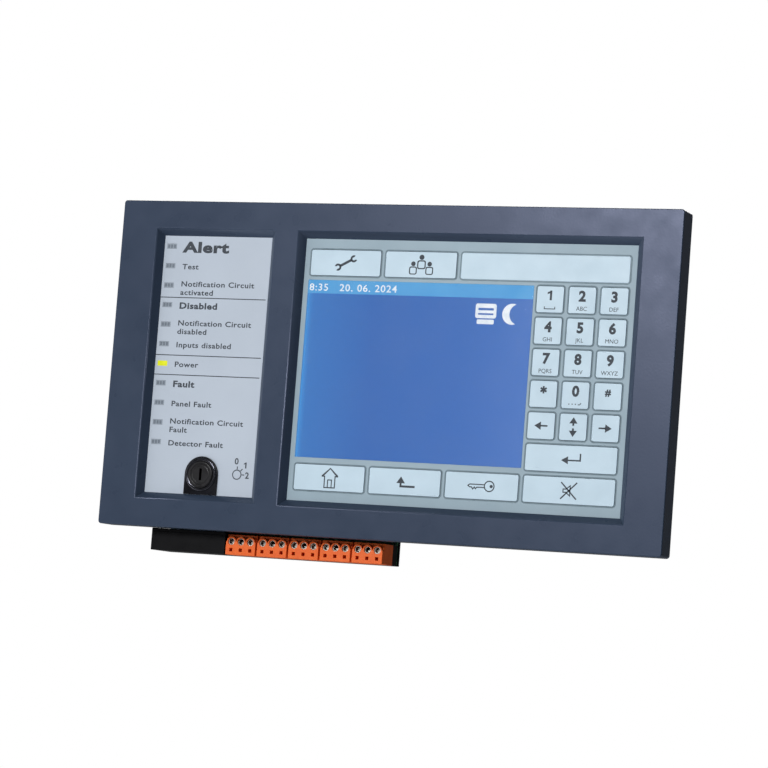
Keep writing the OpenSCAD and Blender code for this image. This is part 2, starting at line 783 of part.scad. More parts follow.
// A cross-recess screw along Y whose head faces the wall
module rear_screw(x, z, head_y, length) {
    cross_w = 0.7;
    cross_len = 3.6;
    cross_d = 0.7;
    rod(x, z, head_y - length, head_y + eps, screw_r - fit);
    difference() {
        rod(x, z, head_y, head_y + screw_head_t, screw_head_r);
        translate([x, head_y + screw_head_t, z]) {
            cube([cross_w, 2 * cross_d, cross_len], center = true);
            cube([cross_len, 2 * cross_d, cross_w], center = true);
        }
    }
}

module housing_screws() {
    color("silver") for (x = [-boss_x, boss_x]) for (z = boss_zs)
        rear_screw(x, z, skirt_y, flange_t + screw_bite - 0.3);
}

module board_screws() {
    color("silver") {
        for (s = standoffs) translate([0, board_y, 0]) mirror([0, 1, 0])
            rear_screw(s[0], s[1], 0, board_t + screw_bite - 0.3);
        for (x = carrier_screws_x)
            translate([x, carrier_screw_y, -housing_z - carrier_t - screw_head_t]) {
                cylinder(h = screw_head_t + carrier_t + housing_wall, r = screw_r - fit,
                    $fn = round_fn);
                cylinder(h = screw_head_t, r = screw_head_r, $fn = round_fn);
            }
    }
}

module mounting_inserts() {
    color("#c9a24b") for (x = [-mount_x, mount_x]) for (z = [-mount_z, mount_z]) difference() {
        rod(x, z, -insert_len, 0, insert_r);
        rod(x, z, -insert_len + 1, eps, mount_hole_r);
    }
}

front_frame();
mounting_plate();
rear_housing();
label_insert();
indicator_lenses();
power_lens();
keypad_plate();
display_window();
display_cell();
display_holder();
display_backlight();
keypad_board();
snap_domes();
indicator_board();
indicator_leds();
lock_surround();
lock_ring();
lock_barrel();
lock_cylinder();
lock_nut();
lock_switch();
main_board();
board_components();
sounder();
coin_cell();
ribbon_cable();
terminal_carrier();
terminal_headers();
header_pins();
service_sockets();
housing_screws();
board_screws();
mounting_inserts();
terminal_plug(0);  // terminal_plug_1
terminal_plug(1);  // terminal_plug_2
terminal_plug(2);  // terminal_plug_3
terminal_plug(3);  // terminal_plug_4
terminal_plug(4);  // terminal_plug_5
key_cap("1");  // key_1
key_cap("2");  // key_2
key_cap("3");  // key_3
key_cap("4");  // key_4
key_cap("5");  // key_5
key_cap("6");  // key_6
key_cap("7");  // key_7
key_cap("8");  // key_8
key_cap("9");  // key_9
key_cap("star");  // key_star
key_cap("0");  // key_0
key_cap("hash");  // key_hash
key_cap("left");  // key_left
key_cap("up_down");  // key_up_down
key_cap("right");  // key_right
key_cap("enter");  // key_enter
key_cap("mute");  // key_mute
key_cap("home");  // key_home
key_cap("back");  // key_back
key_cap("access");  // key_access
key_cap("service");  // key_service
key_cap("groups");  // key_groups
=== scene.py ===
# %% [markdown]
# # A fire alarm control panel
# The working model comes in as a fixed frame: every moulding, board, key and plug is already in its
# place, in metres, with +X to the right, +Y into the wall and +Z up. This lesson dresses it: it
# rounds the edges that a mould rounds, prints the legends, lights the display and gives every
# piece the finish it has in real life.

# %% Load the frame
import json
import math

import bpy
from mathutils import Matrix, Vector

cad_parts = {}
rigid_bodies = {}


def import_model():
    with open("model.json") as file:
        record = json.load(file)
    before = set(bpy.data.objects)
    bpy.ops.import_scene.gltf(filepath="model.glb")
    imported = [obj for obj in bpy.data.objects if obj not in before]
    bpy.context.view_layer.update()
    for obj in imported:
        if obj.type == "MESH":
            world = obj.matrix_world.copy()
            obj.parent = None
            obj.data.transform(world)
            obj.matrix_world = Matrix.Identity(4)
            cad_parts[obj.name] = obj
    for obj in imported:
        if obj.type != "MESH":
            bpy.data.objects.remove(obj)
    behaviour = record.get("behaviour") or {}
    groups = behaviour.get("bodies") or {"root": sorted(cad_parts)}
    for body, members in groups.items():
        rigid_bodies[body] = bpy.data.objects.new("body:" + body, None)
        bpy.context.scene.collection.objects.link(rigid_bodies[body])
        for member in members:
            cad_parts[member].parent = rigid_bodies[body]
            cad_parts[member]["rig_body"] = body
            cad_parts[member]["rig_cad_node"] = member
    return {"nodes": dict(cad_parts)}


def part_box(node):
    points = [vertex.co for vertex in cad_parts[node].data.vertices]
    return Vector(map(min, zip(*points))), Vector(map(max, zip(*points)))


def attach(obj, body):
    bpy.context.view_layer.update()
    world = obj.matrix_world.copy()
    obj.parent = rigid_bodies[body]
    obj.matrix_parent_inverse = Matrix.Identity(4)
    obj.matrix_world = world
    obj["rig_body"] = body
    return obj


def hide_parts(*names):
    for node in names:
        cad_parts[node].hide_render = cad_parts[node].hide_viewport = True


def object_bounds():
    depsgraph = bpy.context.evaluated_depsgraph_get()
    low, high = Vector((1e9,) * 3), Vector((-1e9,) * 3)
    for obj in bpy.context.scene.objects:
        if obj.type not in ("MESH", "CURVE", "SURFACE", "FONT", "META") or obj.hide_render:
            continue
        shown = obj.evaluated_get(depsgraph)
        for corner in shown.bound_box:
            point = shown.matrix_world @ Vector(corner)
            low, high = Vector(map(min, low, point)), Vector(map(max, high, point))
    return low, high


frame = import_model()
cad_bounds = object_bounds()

MM = 0.001
nodes = frame["nodes"]

# %% [markdown]
# ## The camera
# A product picture is taken with a long lens, so that the panel's edges stay almost parallel. The
# camera stands to the right and a little below, and it is rolled slightly, which is why the panel
# leans in the picture. Its place is measured from the middle of the panel's front face.

# %% Set up the camera
LENS = 144.6                                          # in millimetres
CAMERA_OFFSET = Vector((0.5666, -1.3503, -0.1331))    # from the middle of the front face
AIM_OFFSET = Vector((0.0017, 0.0, -0.0061))
CAMERA_ROLL = math.radians(4.38)
low = Vector(cad_bounds[0])
face_middle = Vector((0.0, low.y, 0.0))
bpy.ops.object.camera_add()
camera = bpy.context.object
camera.name = "product_camera"
camera.data.lens = LENS
camera.data.clip_start = 0.01
camera.location = face_middle + CAMERA_OFFSET
aim = face_middle + AIM_OFFSET
turn = (aim - camera.location).to_track_quat("-Z", "Y").to_matrix()
roll = Matrix.Rotation(CAMERA_ROLL, 3, "Z")
camera.rotation_euler = (turn @ roll).to_euler()
bpy.context.scene.camera = camera
print("camera distance in metres:", round((camera.location - face_middle).length, 3))

# %% [markdown]
# ## Floor and light
# The panel hangs at eye height in a pale studio, so the floor lies more than a metre below it. The
# key light stands above and to the left of the camera: it makes the sheen on the dark frame and
# leaves the panel's right side in shadow. A large weak fill opens the shadows, and two lights
# behind and above the panel show its back. The backdrop is white, but it throws little light on
# the panel, so the world is bright only where it is seen.

# %% Build the studio
FLOOR_DROP = 1.15      # from the panel's lowest point to the floor, in metres
FLOOR_SIZE = 12.0
LIT, SEEN = 0.09, 1.0  # how strongly the world lights things, and how bright it looks itself
WHITE = (1.0, 1.0, 1.0, 1.0)


def soft_light(name, place, size, power):
    """Adds a square area light that faces the middle of the panel's front."""
    bpy.ops.object.light_add(type="AREA", location=place)
    light = bpy.context.object
    light.name = name
    light.data.size = size
    light.data.energy = power
    light.rotation_euler = (face_middle - Vector(place)).to_track_quat("-Z", "Y").to_euler()


soft_light("key_light", (-0.40, -2.15, 0.57), 0.45, 31.0)
soft_light("fill_light", (-1.7, -1.0, -0.5), 2.0, 20.0)
soft_light("rear_light", (-0.5, 1.6, 0.9), 1.2, 22.0)
soft_light("overhead_light", (0.0, 1.0, 1.7), 1.5, 25.0)

world = bpy.data.worlds.new("pale_studio")
bpy.context.scene.world = world
world.use_nodes = True
sky = world.node_tree
dim, bright = sky.nodes["Background"], sky.nodes.new("ShaderNodeBackground")
for backdrop, strength in ((dim, LIT), (bright, SEEN)):
    backdrop.inputs["Color"].default_value = WHITE
    backdrop.inputs["Strength"].default_value = strength
seen = sky.nodes.new("ShaderNodeLightPath")
either = sky.nodes.new("ShaderNodeMixShader")
sky.links.new(seen.outputs["Is Camera Ray"], either.inputs["Fac"])
sky.links.new(dim.outputs["Background"], either.inputs[1])
sky.links.new(bright.outputs["Background"], either.inputs[2])
sky.links.new(either.outputs["Shader"], sky.nodes["World Output"].inputs["Surface"])
bpy.context.scene.view_settings.view_transform = "Standard"

# %% [markdown]
# ## Tools for finishes
# Every finish starts as a Principled shader with a few plain values. Colours are written as the hex
# values that a paint card would give, and one function turns them into the linear values that the
# shader wants. One function adds any node, with its settings and its links. Most finishes then get
# two things: a colour that drifts in soft patches, and a fine grain over which the gloss varies.

# %% Helpers for materials


def linear(hex_code):
    """Turns an sRGB hex colour into linear red, green, blue and alpha."""
    steps = [int(hex_code[i:i + 2], 16) / 255 for i in (1, 3, 5)]
    return tuple(s / 12.92 if s <= 0.04045 else ((s + 0.055) / 1.055) ** 2.4
                 for s in steps) + (1.0,)


def add(finish, kind, settings=None, inputs=None):
    """Adds a node: settings are its properties, inputs are values or sockets to link."""
    node = finish.node_tree.nodes.new("ShaderNode" + kind)
    for name, value in (settings or {}).items():
        setattr(node, name, value)
    for name, value in (inputs or {}).items():
        if isinstance(value, bpy.types.NodeSocket):
            finish.node_tree.links.new(value, node.inputs[name])
        else:
            node.inputs[name].default_value = value
    return node


def new_finish(name, hex_code, roughness, metallic=0.0, **values):
    """Makes a material whose Principled shader holds plain values."""
    finish = bpy.data.materials.new(name)
    finish.use_nodes = True
    shader = finish.node_tree.nodes["Principled BSDF"]
    shader.inputs["Base Color"].default_value = linear(hex_code)
    shader.inputs["Roughness"].default_value = roughness
    shader.inputs["Metallic"].default_value = metallic
    for socket, value in values.items():
        shader.inputs[socket.replace("_", " ")].default_value = value
    return finish


def plug_in(finish, socket, output):
    """Links an output to a socket of the finish's Principled shader."""
    shader = finish.node_tree.nodes["Principled BSDF"]
    finish.node_tree.links.new(output, shader.inputs[socket])


def patches(finish, first, second, size, socket="Base Color"):
    """Drifts a colour socket between two hex colours in soft patches of a size in metres."""
    place = add(finish, "TexCoord").outputs["Object"]
    noise = add(finish, "TexNoise", inputs={"Vector": place, "Scale": 1 / size, "Detail": 3.0})
    share = add(finish, "MapRange", inputs={"Value": noise.outputs["Fac"], "From Min": 0.35,
                                            "From Max": 0.65})
    blend = add(finish, "Mix", {"data_type": "RGBA"},
                {"Factor": share.outputs["Result"], 6: linear(first), 7: linear(second)})
    plug_in(finish, socket, blend.outputs[2])


def grain(finish, size, depth, smoothest, roughest):
    """Adds fine bumps of a size and depth in metres, and lets the gloss vary between two values."""
    place = add(finish, "TexCoord").outputs["Object"]
    noise = add(finish, "TexNoise", inputs={"Vector": place, "Scale": 1 / size, "Detail": 2.0})
    bump = add(finish, "Bump", inputs={"Height": noise.outputs["Fac"], "Distance": depth})
    plug_in(finish, "Normal", bump.outputs["Normal"])
    broad = add(finish, "TexNoise", inputs={"Vector": place, "Scale": 0.08 / size})
    gloss = add(finish, "MapRange", inputs={"Value": broad.outputs["Fac"], "From Min": 0.3,
                                            "From Max": 0.7, "To Min": smoothest,
                                            "To Max": roughest})
    plug_in(finish, "Roughness", gloss.outputs["Result"])


def textured(name, mean, roughness, drift, tooth, metallic=0.0, **values):
    """Drift is two hex colours and a size; tooth is a size, a depth and two glosses; all in mm."""
    finish = new_finish(name, mean, roughness, metallic, **values)
    patches(finish, drift[0], drift[1], drift[2] * MM)
    grain(finish, tooth[0] * MM, tooth[1] * MM, tooth[2], tooth[3])
    return finish


# %% [markdown]
# ## Mouldings
# The frame is injection-moulded ABS in anthracite. Its mould is spark-eroded, which leaves a fine
# matt grain that spreads a highlight into a broad sheen. The housing behind it is the same plastic
# in black. Real grain is about 0.3 mm; it is drawn at 0.9 mm so that it shows. The plugs are
# orange polyamide, which lets a little light in and so has soft, warm shadows.

# %% Moulded plastics
# The pale blue specular tint is painted light: it gives the frame's sheen the blue of the studio
# light.
frame_abs = textured("anthracite_abs_spark_eroded", "#323E50", 0.3, ("#303C4E", "#344052", 40),
                     (0.9, 0.012, 0.27, 0.33), Specular_IOR_Level=0.25,
                     Specular_Tint=linear("#D8DEFF"))
housing_abs = textured("black_abs_moulded", "#15161A", 0.5, ("#141519", "#17181D", 30),
                       (1.2, 0.04, 0.44, 0.54), Specular_IOR_Level=0.3)
black_pbt = textured("black_pbt_moulded", "#08080B", 0.45, ("#07070A", "#0A0A0D", 6),
                     (0.6, 0.01, 0.34, 0.46), Specular_IOR_Level=0.08)
gloss_black = textured("black_polycarbonate_polished", "#101118", 0.22, ("#0D0E13", "#12131A", 5),
                       (0.8, 0.004, 0.18, 0.28), Specular_IOR_Level=0.2)
orange_pa = textured("orange_polyamide_moulded", "#E5621A", 0.4, ("#E15E18", "#E9681F", 4),
                     (0.5, 0.01, 0.34, 0.46), Specular_IOR_Level=0.3, Subsurface_Weight=0.06,
                     Subsurface_Scale=0.6 * MM)
red_pbt = textured("red_pbt_moulded", "#8B1F1F", 0.4, ("#84201E", "#932423", 4),
                   (0.5, 0.01, 0.35, 0.45))
white_pc = textured("white_polycarbonate_moulded", "#EDECE6", 0.4, ("#E7E6E0", "#F2F1EC", 8),
                    (0.6, 0.01, 0.35, 0.45))
print("moulded plastics:", len(bpy.data.materials))

# %% [markdown]
# ## Films and inks
# The indicator panel and the keypad are faced with printed polyester film. The film is matt, its
# colour is laid on from behind, and it has a fine even tooth. The key caps carry a paler film.
# The legends are screen-printed: flat, slightly rough, and never quite black.

# %% Printed films and inks
FILM_TOOTH = (0.7, 0.008, 0.48, 0.54)
INK_TOOTH = (0.3, 0.003, 0.55, 0.65)
label_film = textured("grey_polyester_film", "#B2BDCB", 0.5, ("#B0BBC9", "#B4BFCD", 30), FILM_TOOTH)
keypad_film = textured("blue_grey_polyester_film", "#90A6B3", 0.5, ("#8EA4B1", "#93A9B6", 25),
                       FILM_TOOTH)
key_film = textured("pale_blue_polyester_film", "#BCD3E2", 0.46, ("#BAD1E0", "#BFD6E5", 12),
                    (0.7, 0.008, 0.42, 0.5))
dark_ink = textured("slate_screen_print_ink", "#252F3A", 0.6, ("#222C37", "#29333F", 1.2), INK_TOOTH)
line_ink = textured("grey_screen_print_ink", "#6C808B", 0.6, ("#687C87", "#70848F", 3), INK_TOOTH)
print("films and inks are ready")

# %% [markdown]
# ## Light-giving and clear finishes
# The picture comes from a liquid crystal cell lit from behind, so the cell glows by itself under a
# clear acrylic window. The header bar and the symbols are brighter areas of the same picture. The
# indicator windows are dull diffusers, and only the power indicator is lit.

# %% Screen, window and light guides


def lit_area(name, strength):
    """A finish that is dark and without a sheen by itself, so that only its light shows."""
    return new_finish(name, "#07080C", 0.8, Specular_IOR_Level=0.0, Emission_Strength=strength)


def glowing(name, first, second, size, strength):
    """A lit area whose light drifts between two hex colours."""
    finish = lit_area(name, strength)
    patches(finish, first, second, size, "Emission Color")
    return finish


screen_blue = lit_area("liquid_crystal_blue", 1.07)
screen_header = glowing("liquid_crystal_header", "#569CD4", "#5EA3D8", 12 * MM, 1.12)
screen_white = glowing("liquid_crystal_white", "#E4EEF8", "#F4F9FF", 4 * MM, 1.0)
lit_lens = glowing("lit_acrylic_diffuser", "#DDE428", "#EEF03C", 2.5 * MM, 1.0)

clear_window = new_finish("clear_acrylic_cast", "#FFFFFF", 0.06, Transmission_Weight=1.0,
                          IOR=1.49)
grain(clear_window, 1.2 * MM, 0.0005 * MM, 0.05, 0.09)

dull_lens = textured("smoked_acrylic_diffuser", "#8A95A2", 0.35, ("#86919E", "#8F9AA7", 1.5),
                     (0.4, 0.006, 0.3, 0.42))
lens_shade = textured("grey_acrylic_diffuser_core", "#606C7A", 0.4, ("#5C6876", "#66727F", 1.5),
                      (0.4, 0.004, 0.36, 0.46))
print("light-giving finishes are ready")

# %% [markdown]
# ## Metals
# The lock has a ring plated with black chrome, the screws are zinc-plated steel, the inserts are
# turned brass, and the plugs' clamps are tinned copper alloy. A metal keeps the default index of
# refraction; its look comes from its colour and from how evenly it is polished. The lock's barrel
# is blackened: the dark layer hides the metal under it, so it shines as little as a dull paint.

# %% Metals
METALS = {
    # name: mean colour, two drifting colours, grain in mm, smoothest and roughest gloss
    "black_chrome_plated_brass": ("#4A4B52", "#45464D", "#505158", 0.5, 0.12, 0.2),
    "zinc_plated_steel": ("#B9BCC2", "#B0B5C0", "#C3C1BC", 0.4, 0.22, 0.4),
    "turned_brass": ("#C9A24B", "#BF9741", "#D2AD5A", 0.4, 0.22, 0.38),
    "tinned_copper_alloy": ("#A8A199", "#A0988F", "#B3ADA5", 0.3, 0.3, 0.42),
    "gold_plated_contact": ("#D8B04A", "#CFA640", "#E0BA58", 0.3, 0.15, 0.28),
    "nickel_plated_shell": ("#BFC0BE", "#B7B8B7", "#C8C9C6", 0.4, 0.2, 0.32),
    "aluminium_foil_label": ("#C4C6C9", "#C1C3C7", "#C7C9CB", 0.5, 0.36, 0.4),
}
metal = {name: textured(name, mean, smooth, (first, second, 3), (size, 0.003, smooth, rough), 1.0)
         for name, (mean, first, second, size, smooth, rough) in METALS.items()}
black_metal = textured("blackened_zinc_die_cast", "#0B0B0F", 0.35, ("#09090D", "#0E0E13", 3),
                       (0.4, 0.004, 0.26, 0.36), Specular_IOR_Level=0.25)
print("metals:", len(metal) + 1)

# %% [markdown]
# ## Electronics
# A circuit board is glass fibre under green solder mask, over copper tracks that show as a paler
# green. A brick pattern turned into the board's plane stands for the tracks. The ribbon cable is
# grey PVC with a ridge for each of its wires, 1.27 mm apart.

# %% Boards and ribbon
RIBBON_PITCH = 1.27 * MM
WAVE_PERIOD = 20       # a wave texture of scale 1 repeats every 2 pi / 20 of a unit

board_mask = new_finish("green_solder_mask_on_fr4", "#2A6140", 0.3)
board_place = add(board_mask, "TexCoord").outputs["Object"]
flat_place = add(board_mask, "Mapping", inputs={"Vector": board_place,
                                                "Rotation": (math.radians(90), 0, 0)})
tracks = add(board_mask, "TexBrick", {"offset": 0.35},
             {"Vector": flat_place.outputs["Vector"], "Scale": 1 / (60 * MM),
              "Color1": linear("#24583A"), "Color2": linear("#2C6643"),
              "Mortar": linear("#4B8A5C"), "Mortar Size": 0.012})
plug_in(board_mask, "Base Color", tracks.outputs["Color"])
grain(board_mask, 0.8 * MM, 0.01 * MM, 0.24, 0.38)

ribbon_pvc = new_finish("grey_pvc_ribbon_cable", "#9AA0A8", 0.45)
ridge_place = add(ribbon_pvc, "TexCoord").outputs["Object"]
ridges = add(ribbon_pvc, "TexWave", {"bands_direction": "X"},
             {"Vector": ridge_place, "Scale": 2 * math.pi / WAVE_PERIOD / RIBBON_PITCH})
ridge_bump = add(ribbon_pvc, "Bump", inputs={"Height": ridges.outputs["Fac"],
                                             "Distance": 0.3 * MM})
plug_in(ribbon_pvc, "Normal", ridge_bump.outputs["Normal"])
patches(ribbon_pvc, "#949AA2", "#A0A6AE", 6 * MM)
print("electronics:", board_mask.name, ribbon_pvc.name)

# %% [markdown]
# The floor is matt paint, so it stays a plain pale surface without a mirror image of the panel.

# %% Lay the floor
floor_paint = new_finish("pale_studio_floor", "#F0F0F0", 0.7)
patches(floor_paint, "#EEEEEE", "#F2F2F2", 0.5)
bpy.ops.mesh.primitive_plane_add(size=FLOOR_SIZE, location=(0.0, 0.0, low.z - FLOOR_DROP))
floor = bpy.context.object
floor.name = "studio_floor"
floor.data.materials.append(floor_paint)
print("finishes in all:", len(bpy.data.materials))

# %% [markdown]
# ## Dressing the frame's own nodes
# A piece whose shape is right in the frame only needs its finish. The mouldings that get rounded
# edges below start from the same list, because their rounded copies keep the finish.

# %% Give each node its finish
plug_nodes = sorted(n for n in nodes if n.startswith("terminal_plug_"))
key_nodes = sorted(n for n in nodes if n.startswith("key_"))
dressed = [
    (frame_abs, ["front_frame"]),
    (housing_abs, ["mounting_plate", "rear_housing", "display_holder"]),
    (label_film, ["label_insert"]),
    (keypad_film, ["keypad_plate"]),
    (dull_lens, ["indicator_lenses"]),
    (lit_lens, ["power_lens"]),
    (clear_window, ["display_window"]),
    (screen_blue, ["display_cell"]),
    (white_pc, ["display_backlight", "indicator_leds"]),
    (board_mask, ["keypad_board", "indicator_board", "main_board"]),
    (metal["zinc_plated_steel"], ["snap_domes", "housing_screws", "board_screws", "lock_nut"]),
    (metal["nickel_plated_shell"], ["coin_cell", "service_sockets"]),
    (metal["black_chrome_plated_brass"], ["lock_ring"]),
    (metal["gold_plated_contact"], ["header_pins"]),
    (metal["turned_brass"], ["mounting_inserts"]),
    (gloss_black, ["lock_surround"]),
    (black_metal, ["lock_barrel", "lock_cylinder"]),
    (red_pbt, ["lock_switch"]),
    (black_pbt, ["board_components", "sounder", "terminal_carrier", "terminal_headers"]),
    (ribbon_pvc, ["ribbon_cable"]),
    (orange_pa, plug_nodes),
    (key_film, key_nodes),
]
for finish, names in dressed:
    for name in names:
        skin = nodes[name].data.materials
        skin.clear()
        skin.append(finish)
print("nodes dressed:", sum(len(names) for _, names in dressed))

# %% [markdown]
# ## Rounding what a mould rounds
# No moulded edge is perfectly sharp, and the thin bright line along a rounded edge is what makes a
# piece look made. A node's own mesh stays as it is, so a copy is rounded and stands for it: its
# triangles are welded and dissolved into whole faces, its sharp edges are selected and bevelled,
# and weighted normals keep the large faces flat to the eye.

# %% Round a copy of a node


def mode(name):
    """Switches the active object to EDIT or OBJECT mode."""
    bpy.ops.object.mode_set(mode=name)


def pick(*things):
    """Selects only these objects and makes the last one active."""
    bpy.ops.object.select_all(action="DESELECT")
    for thing in things:
        thing.select_set(True)
    bpy.context.view_layer.objects.active = things[-1]


def box_at(place, sides, tilt=0.0):
    """A box about a place, tilted in degrees about the X axis, with its place in its vertices."""
    bpy.ops.mesh.primitive_cube_add(size=1.0, location=place, rotation=(math.radians(tilt), 0, 0),
                                    scale=sides)
    bpy.ops.object.transform_apply()
    return bpy.context.object


def settle(piece, name, body):
    """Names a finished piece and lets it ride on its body."""
    piece.name = name
    piece.data.name = name
    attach(piece, body)


def even_shading(piece, angle=38):
    """Shades a piece smooth up to an angle, with its large faces kept flat to the eye."""
    pick(piece)
    bpy.ops.object.shade_smooth_by_angle(angle=math.radians(angle))
    bpy.ops.object.modifier_add(type="WEIGHTED_NORMAL")
    piece.modifiers[-1].keep_sharp = True
    bpy.ops.object.modifier_apply(modifier=piece.modifiers[-1].name)


def select_edges(mesh, wanted):
    """Selects the edges that pass a test of the edge and its two ends, and nothing else."""
    chosen = [edge.index for edge in mesh.edges
              if wanted(edge, *(mesh.vertices[v].co for v in edge.vertices))]
    for part in (*mesh.vertices, *mesh.edges, *mesh.polygons):
        part.select = False
    for index in chosen:
        mesh.edges[index].select = True


def rounded_copy(node, name, width, chosen=None, segments=3):
    """Copies a node, rounds its sharp edges (or the chosen ones) and lets the copy stand for it."""
    pick(nodes[node])
    bpy.ops.object.duplicate()
    piece = bpy.context.object
    bpy.ops.object.parent_clear(type="CLEAR_KEEP_TRANSFORM")
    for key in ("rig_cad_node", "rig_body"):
        del piece[key]
    mode("EDIT")
    bpy.ops.mesh.select_mode(type="EDGE")
    bpy.ops.mesh.select_all(action="SELECT")
    bpy.ops.mesh.remove_doubles(threshold=0.001 * MM)
    bpy.ops.mesh.dissolve_limited(angle_limit=math.radians(0.5))
    bpy.ops.mesh.select_all(action="DESELECT")
    bpy.ops.mesh.edges_select_sharp(sharpness=math.radians(35))
    mode("OBJECT")
    if chosen:
        select_edges(piece.data, lambda edge, a, b: edge.select and chosen((a + b) / 2))
    mode("EDIT")
    bpy.ops.mesh.bevel(offset=width, segments=segments, affect="EDGES", clamp_overlap=False,
                       loop_slide=False)
    mode("OBJECT")
    even_shading(piece)
    settle(piece, name, nodes[node]["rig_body"])
    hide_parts(node)
    return piece


# %% Round the mouldings
frame_low, frame_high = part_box("front_frame")
frame_piece = rounded_copy("front_frame", "moulded_front_frame", 0.5 * MM,
                           lambda p: p.y < frame_low.y + 0.1 * MM or p.y > frame_high.y - 0.1 * MM)
rounded_copy("mounting_plate", "moulded_mounting_plate", 0.4 * MM)
rounded_copy("lock_surround", "moulded_lock_surround", 0.25 * MM)
ring_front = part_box("lock_ring")[0].y
rounded_copy("lock_ring", "turned_lock_ring", 0.5 * MM,
             lambda p: p.y < ring_front + 0.05 * MM, 5)
rounded_copy("housing_screws", "pan_head_screws", 0.2 * MM,
             lambda p: p.y > frame_high.y + 1.5 * MM)
print("front frame faces:", len(frame_piece.data.polygons))

# %% [markdown]
# The housing is a deep box, and only its outer edges show. They get a larger radius than the
# front frame's, because a deep drawn mould needs it. The cooling slots keep a small one.

# %% Round the housing
housing_low, housing_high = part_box("rear_housing")


def on_outside(point):
    """True for a point on the box's outer edges, where two of its outer faces meet."""
    return sum((abs(point.x - housing_low.x) < 0.01 * MM, abs(point.x - housing_high.x) < 0.01 * MM,
                abs(point.z - housing_low.z) < 0.01 * MM, abs(point.z - housing_high.z) < 0.01 * MM,
                abs(point.y - housing_high.y) < 0.01 * MM)) > 1


housing_piece = rounded_copy("rear_housing", "moulded_rear_housing", 1.2 * MM,
                             on_outside, 4)
print("housing faces:", len(housing_piece.data.polygons))

# %% [markdown]
# ## Keys and plugs
# Each key cap stands 0.3 mm proud of the keypad and its face is edged by a soft radius, so only the
# edges of its front face are rounded. The plugs are rounded on every edge in front of their
# header. The carrier's top edges stay sharp, because they close up against the frame.

# %% Round the keys and the plugs
for node in key_nodes:
    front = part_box(node)[0].y
    rounded_copy(node, node + "_cap", 0.2 * MM, lambda p: p.y < front + 0.05 * MM)
plug_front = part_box(plug_nodes[0])[0].y
for number, node in enumerate(plug_nodes, 1):
    rounded_copy(node, f"pluggable_terminal_{number}", 0.2 * MM,
                 lambda p: p.y < plug_front + 11 * MM, 2)
carrier_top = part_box("terminal_carrier")[1].z
rounded_copy("terminal_carrier", "moulded_terminal_carrier", 0.3 * MM,
             lambda p: p.z < carrier_top - 0.1 * MM)
rounded_copy("terminal_headers", "moulded_terminal_headers", 0.15 * MM)
print("key caps:", len(key_nodes), "plugs:", len(plug_nodes))

# %% [markdown]
# ## Printing
# Screen-printed ink lies on the surface as a layer a few hundredths of a millimetre thick, so every
# legend is a thin solid. Letters come from Blender's own font. Lines and symbols are flat curves:
# a loop for each outline, filled, and a second loop inside it for a hole. Each print is made
# lying flat, is turned upright to face the front, and is sunk a little into what it is printed on.

# %% Helpers for prints
INK = 0.04 * MM
SUNK = 0.01 * MM
FACING_FRONT = (math.radians(90), 0, 0)


def cleaned(gap):
    """In edit mode: welds points closer than a gap and turns every face outwards."""
    bpy.ops.mesh.select_all(action="SELECT")
    bpy.ops.mesh.remove_doubles(threshold=gap)
    bpy.ops.mesh.normals_make_consistent(inside=False)


def made_solid(thing, finish):
    """Turns a text or flat curve into a mesh whose place is in its vertices."""
    pick(thing)
    bpy.ops.object.convert(target="MESH")
    solid = bpy.context.object
    bpy.ops.object.transform_apply()
    mode("EDIT")
    cleaned(0.0005 * MM)
    mode("OBJECT")
    solid.data.materials.clear()
    solid.data.materials.append(finish)
    return solid


def new_text(words, size):
    """Adds a text object of a font size in metres, facing the front at the origin."""
    bpy.ops.object.text_add(rotation=FACING_FRONT)
    text = bpy.context.object
    text.data.body = words
    text.data.size = size
    text.data.resolution_u = 3
    return text


measured = new_text("H", 1.0)
bpy.context.view_layer.update()
CAP_SHARE = measured.dimensions.y      # height of a capital for a font size of 1
bpy.data.objects.remove(measured)


def printed_words(words, x, z, cap, face, finish, bold=0.0, align="LEFT", width=1.0, gap=1.0):
    """Prints words with capitals of a height, whose middle is at z, on a face at a depth."""
    text = new_text(words, cap / CAP_SHARE)
    text.data.extrude = INK / 2
    text.data.offset = bold * cap / CAP_SHARE
    text.data.align_x = align
    text.data.space_character = gap
    text.location = (x, face - INK / 2 + SUNK, z - cap / 2)
    text.scale = (width, 1.0, 1.0)
    return made_solid(text, finish)


def printed_shape(loops, x, z, face, finish):
    """Prints one filled outline, with its holes, whose points are in mm about (x, z)."""
    curve = bpy.data.curves.new("flat_outline", "CURVE")
    curve.dimensions = "2D"
    curve.fill_mode = "BOTH"
    curve.extrude = INK / 2
    for loop in loops:
        spline = curve.splines.new("POLY")
        spline.points.add(len(loop) - 1)
        for point, place in zip(spline.points, loop):
            point.co = (place[0] * MM, place[1] * MM, 0.0, 1.0)
        spline.use_cyclic_u = True
    outline = bpy.data.objects.new("flat_outline", curve)
    bpy.context.collection.objects.link(outline)
    outline.rotation_euler = FACING_FRONT
    outline.location = (x, face - INK / 2 + SUNK, z)
    return made_solid(outline, finish)


def joined(parts):
    """Joins several solids into one object."""
    pick(*parts)
    if len(parts) > 1:
        bpy.ops.object.join()
    return bpy.context.object


print("a capital is", round(CAP_SHARE, 3), "of the font's size")

# %% [markdown]
# ## Shapes for symbols
# A symbol is built as a draughtsman builds it: arcs, rounded frames and lines of even width. A line
# that turns a corner is one loop round it, with a mitre at each turn, so that no two inked areas
# lie on top of each other.

# %% Outlines in millimetres


def arc(x, z, radius, start=0, end=360, steps=28):
    """Points along an arc, anticlockwise from start to end in degrees."""
    turns = [math.radians(start + (end - start) * i / steps) for i in range(steps + 1)]
    points = [(x + radius * math.cos(t), z + radius * math.sin(t)) for t in turns]
    return points[:-1] if abs(end - start) >= 360 else points


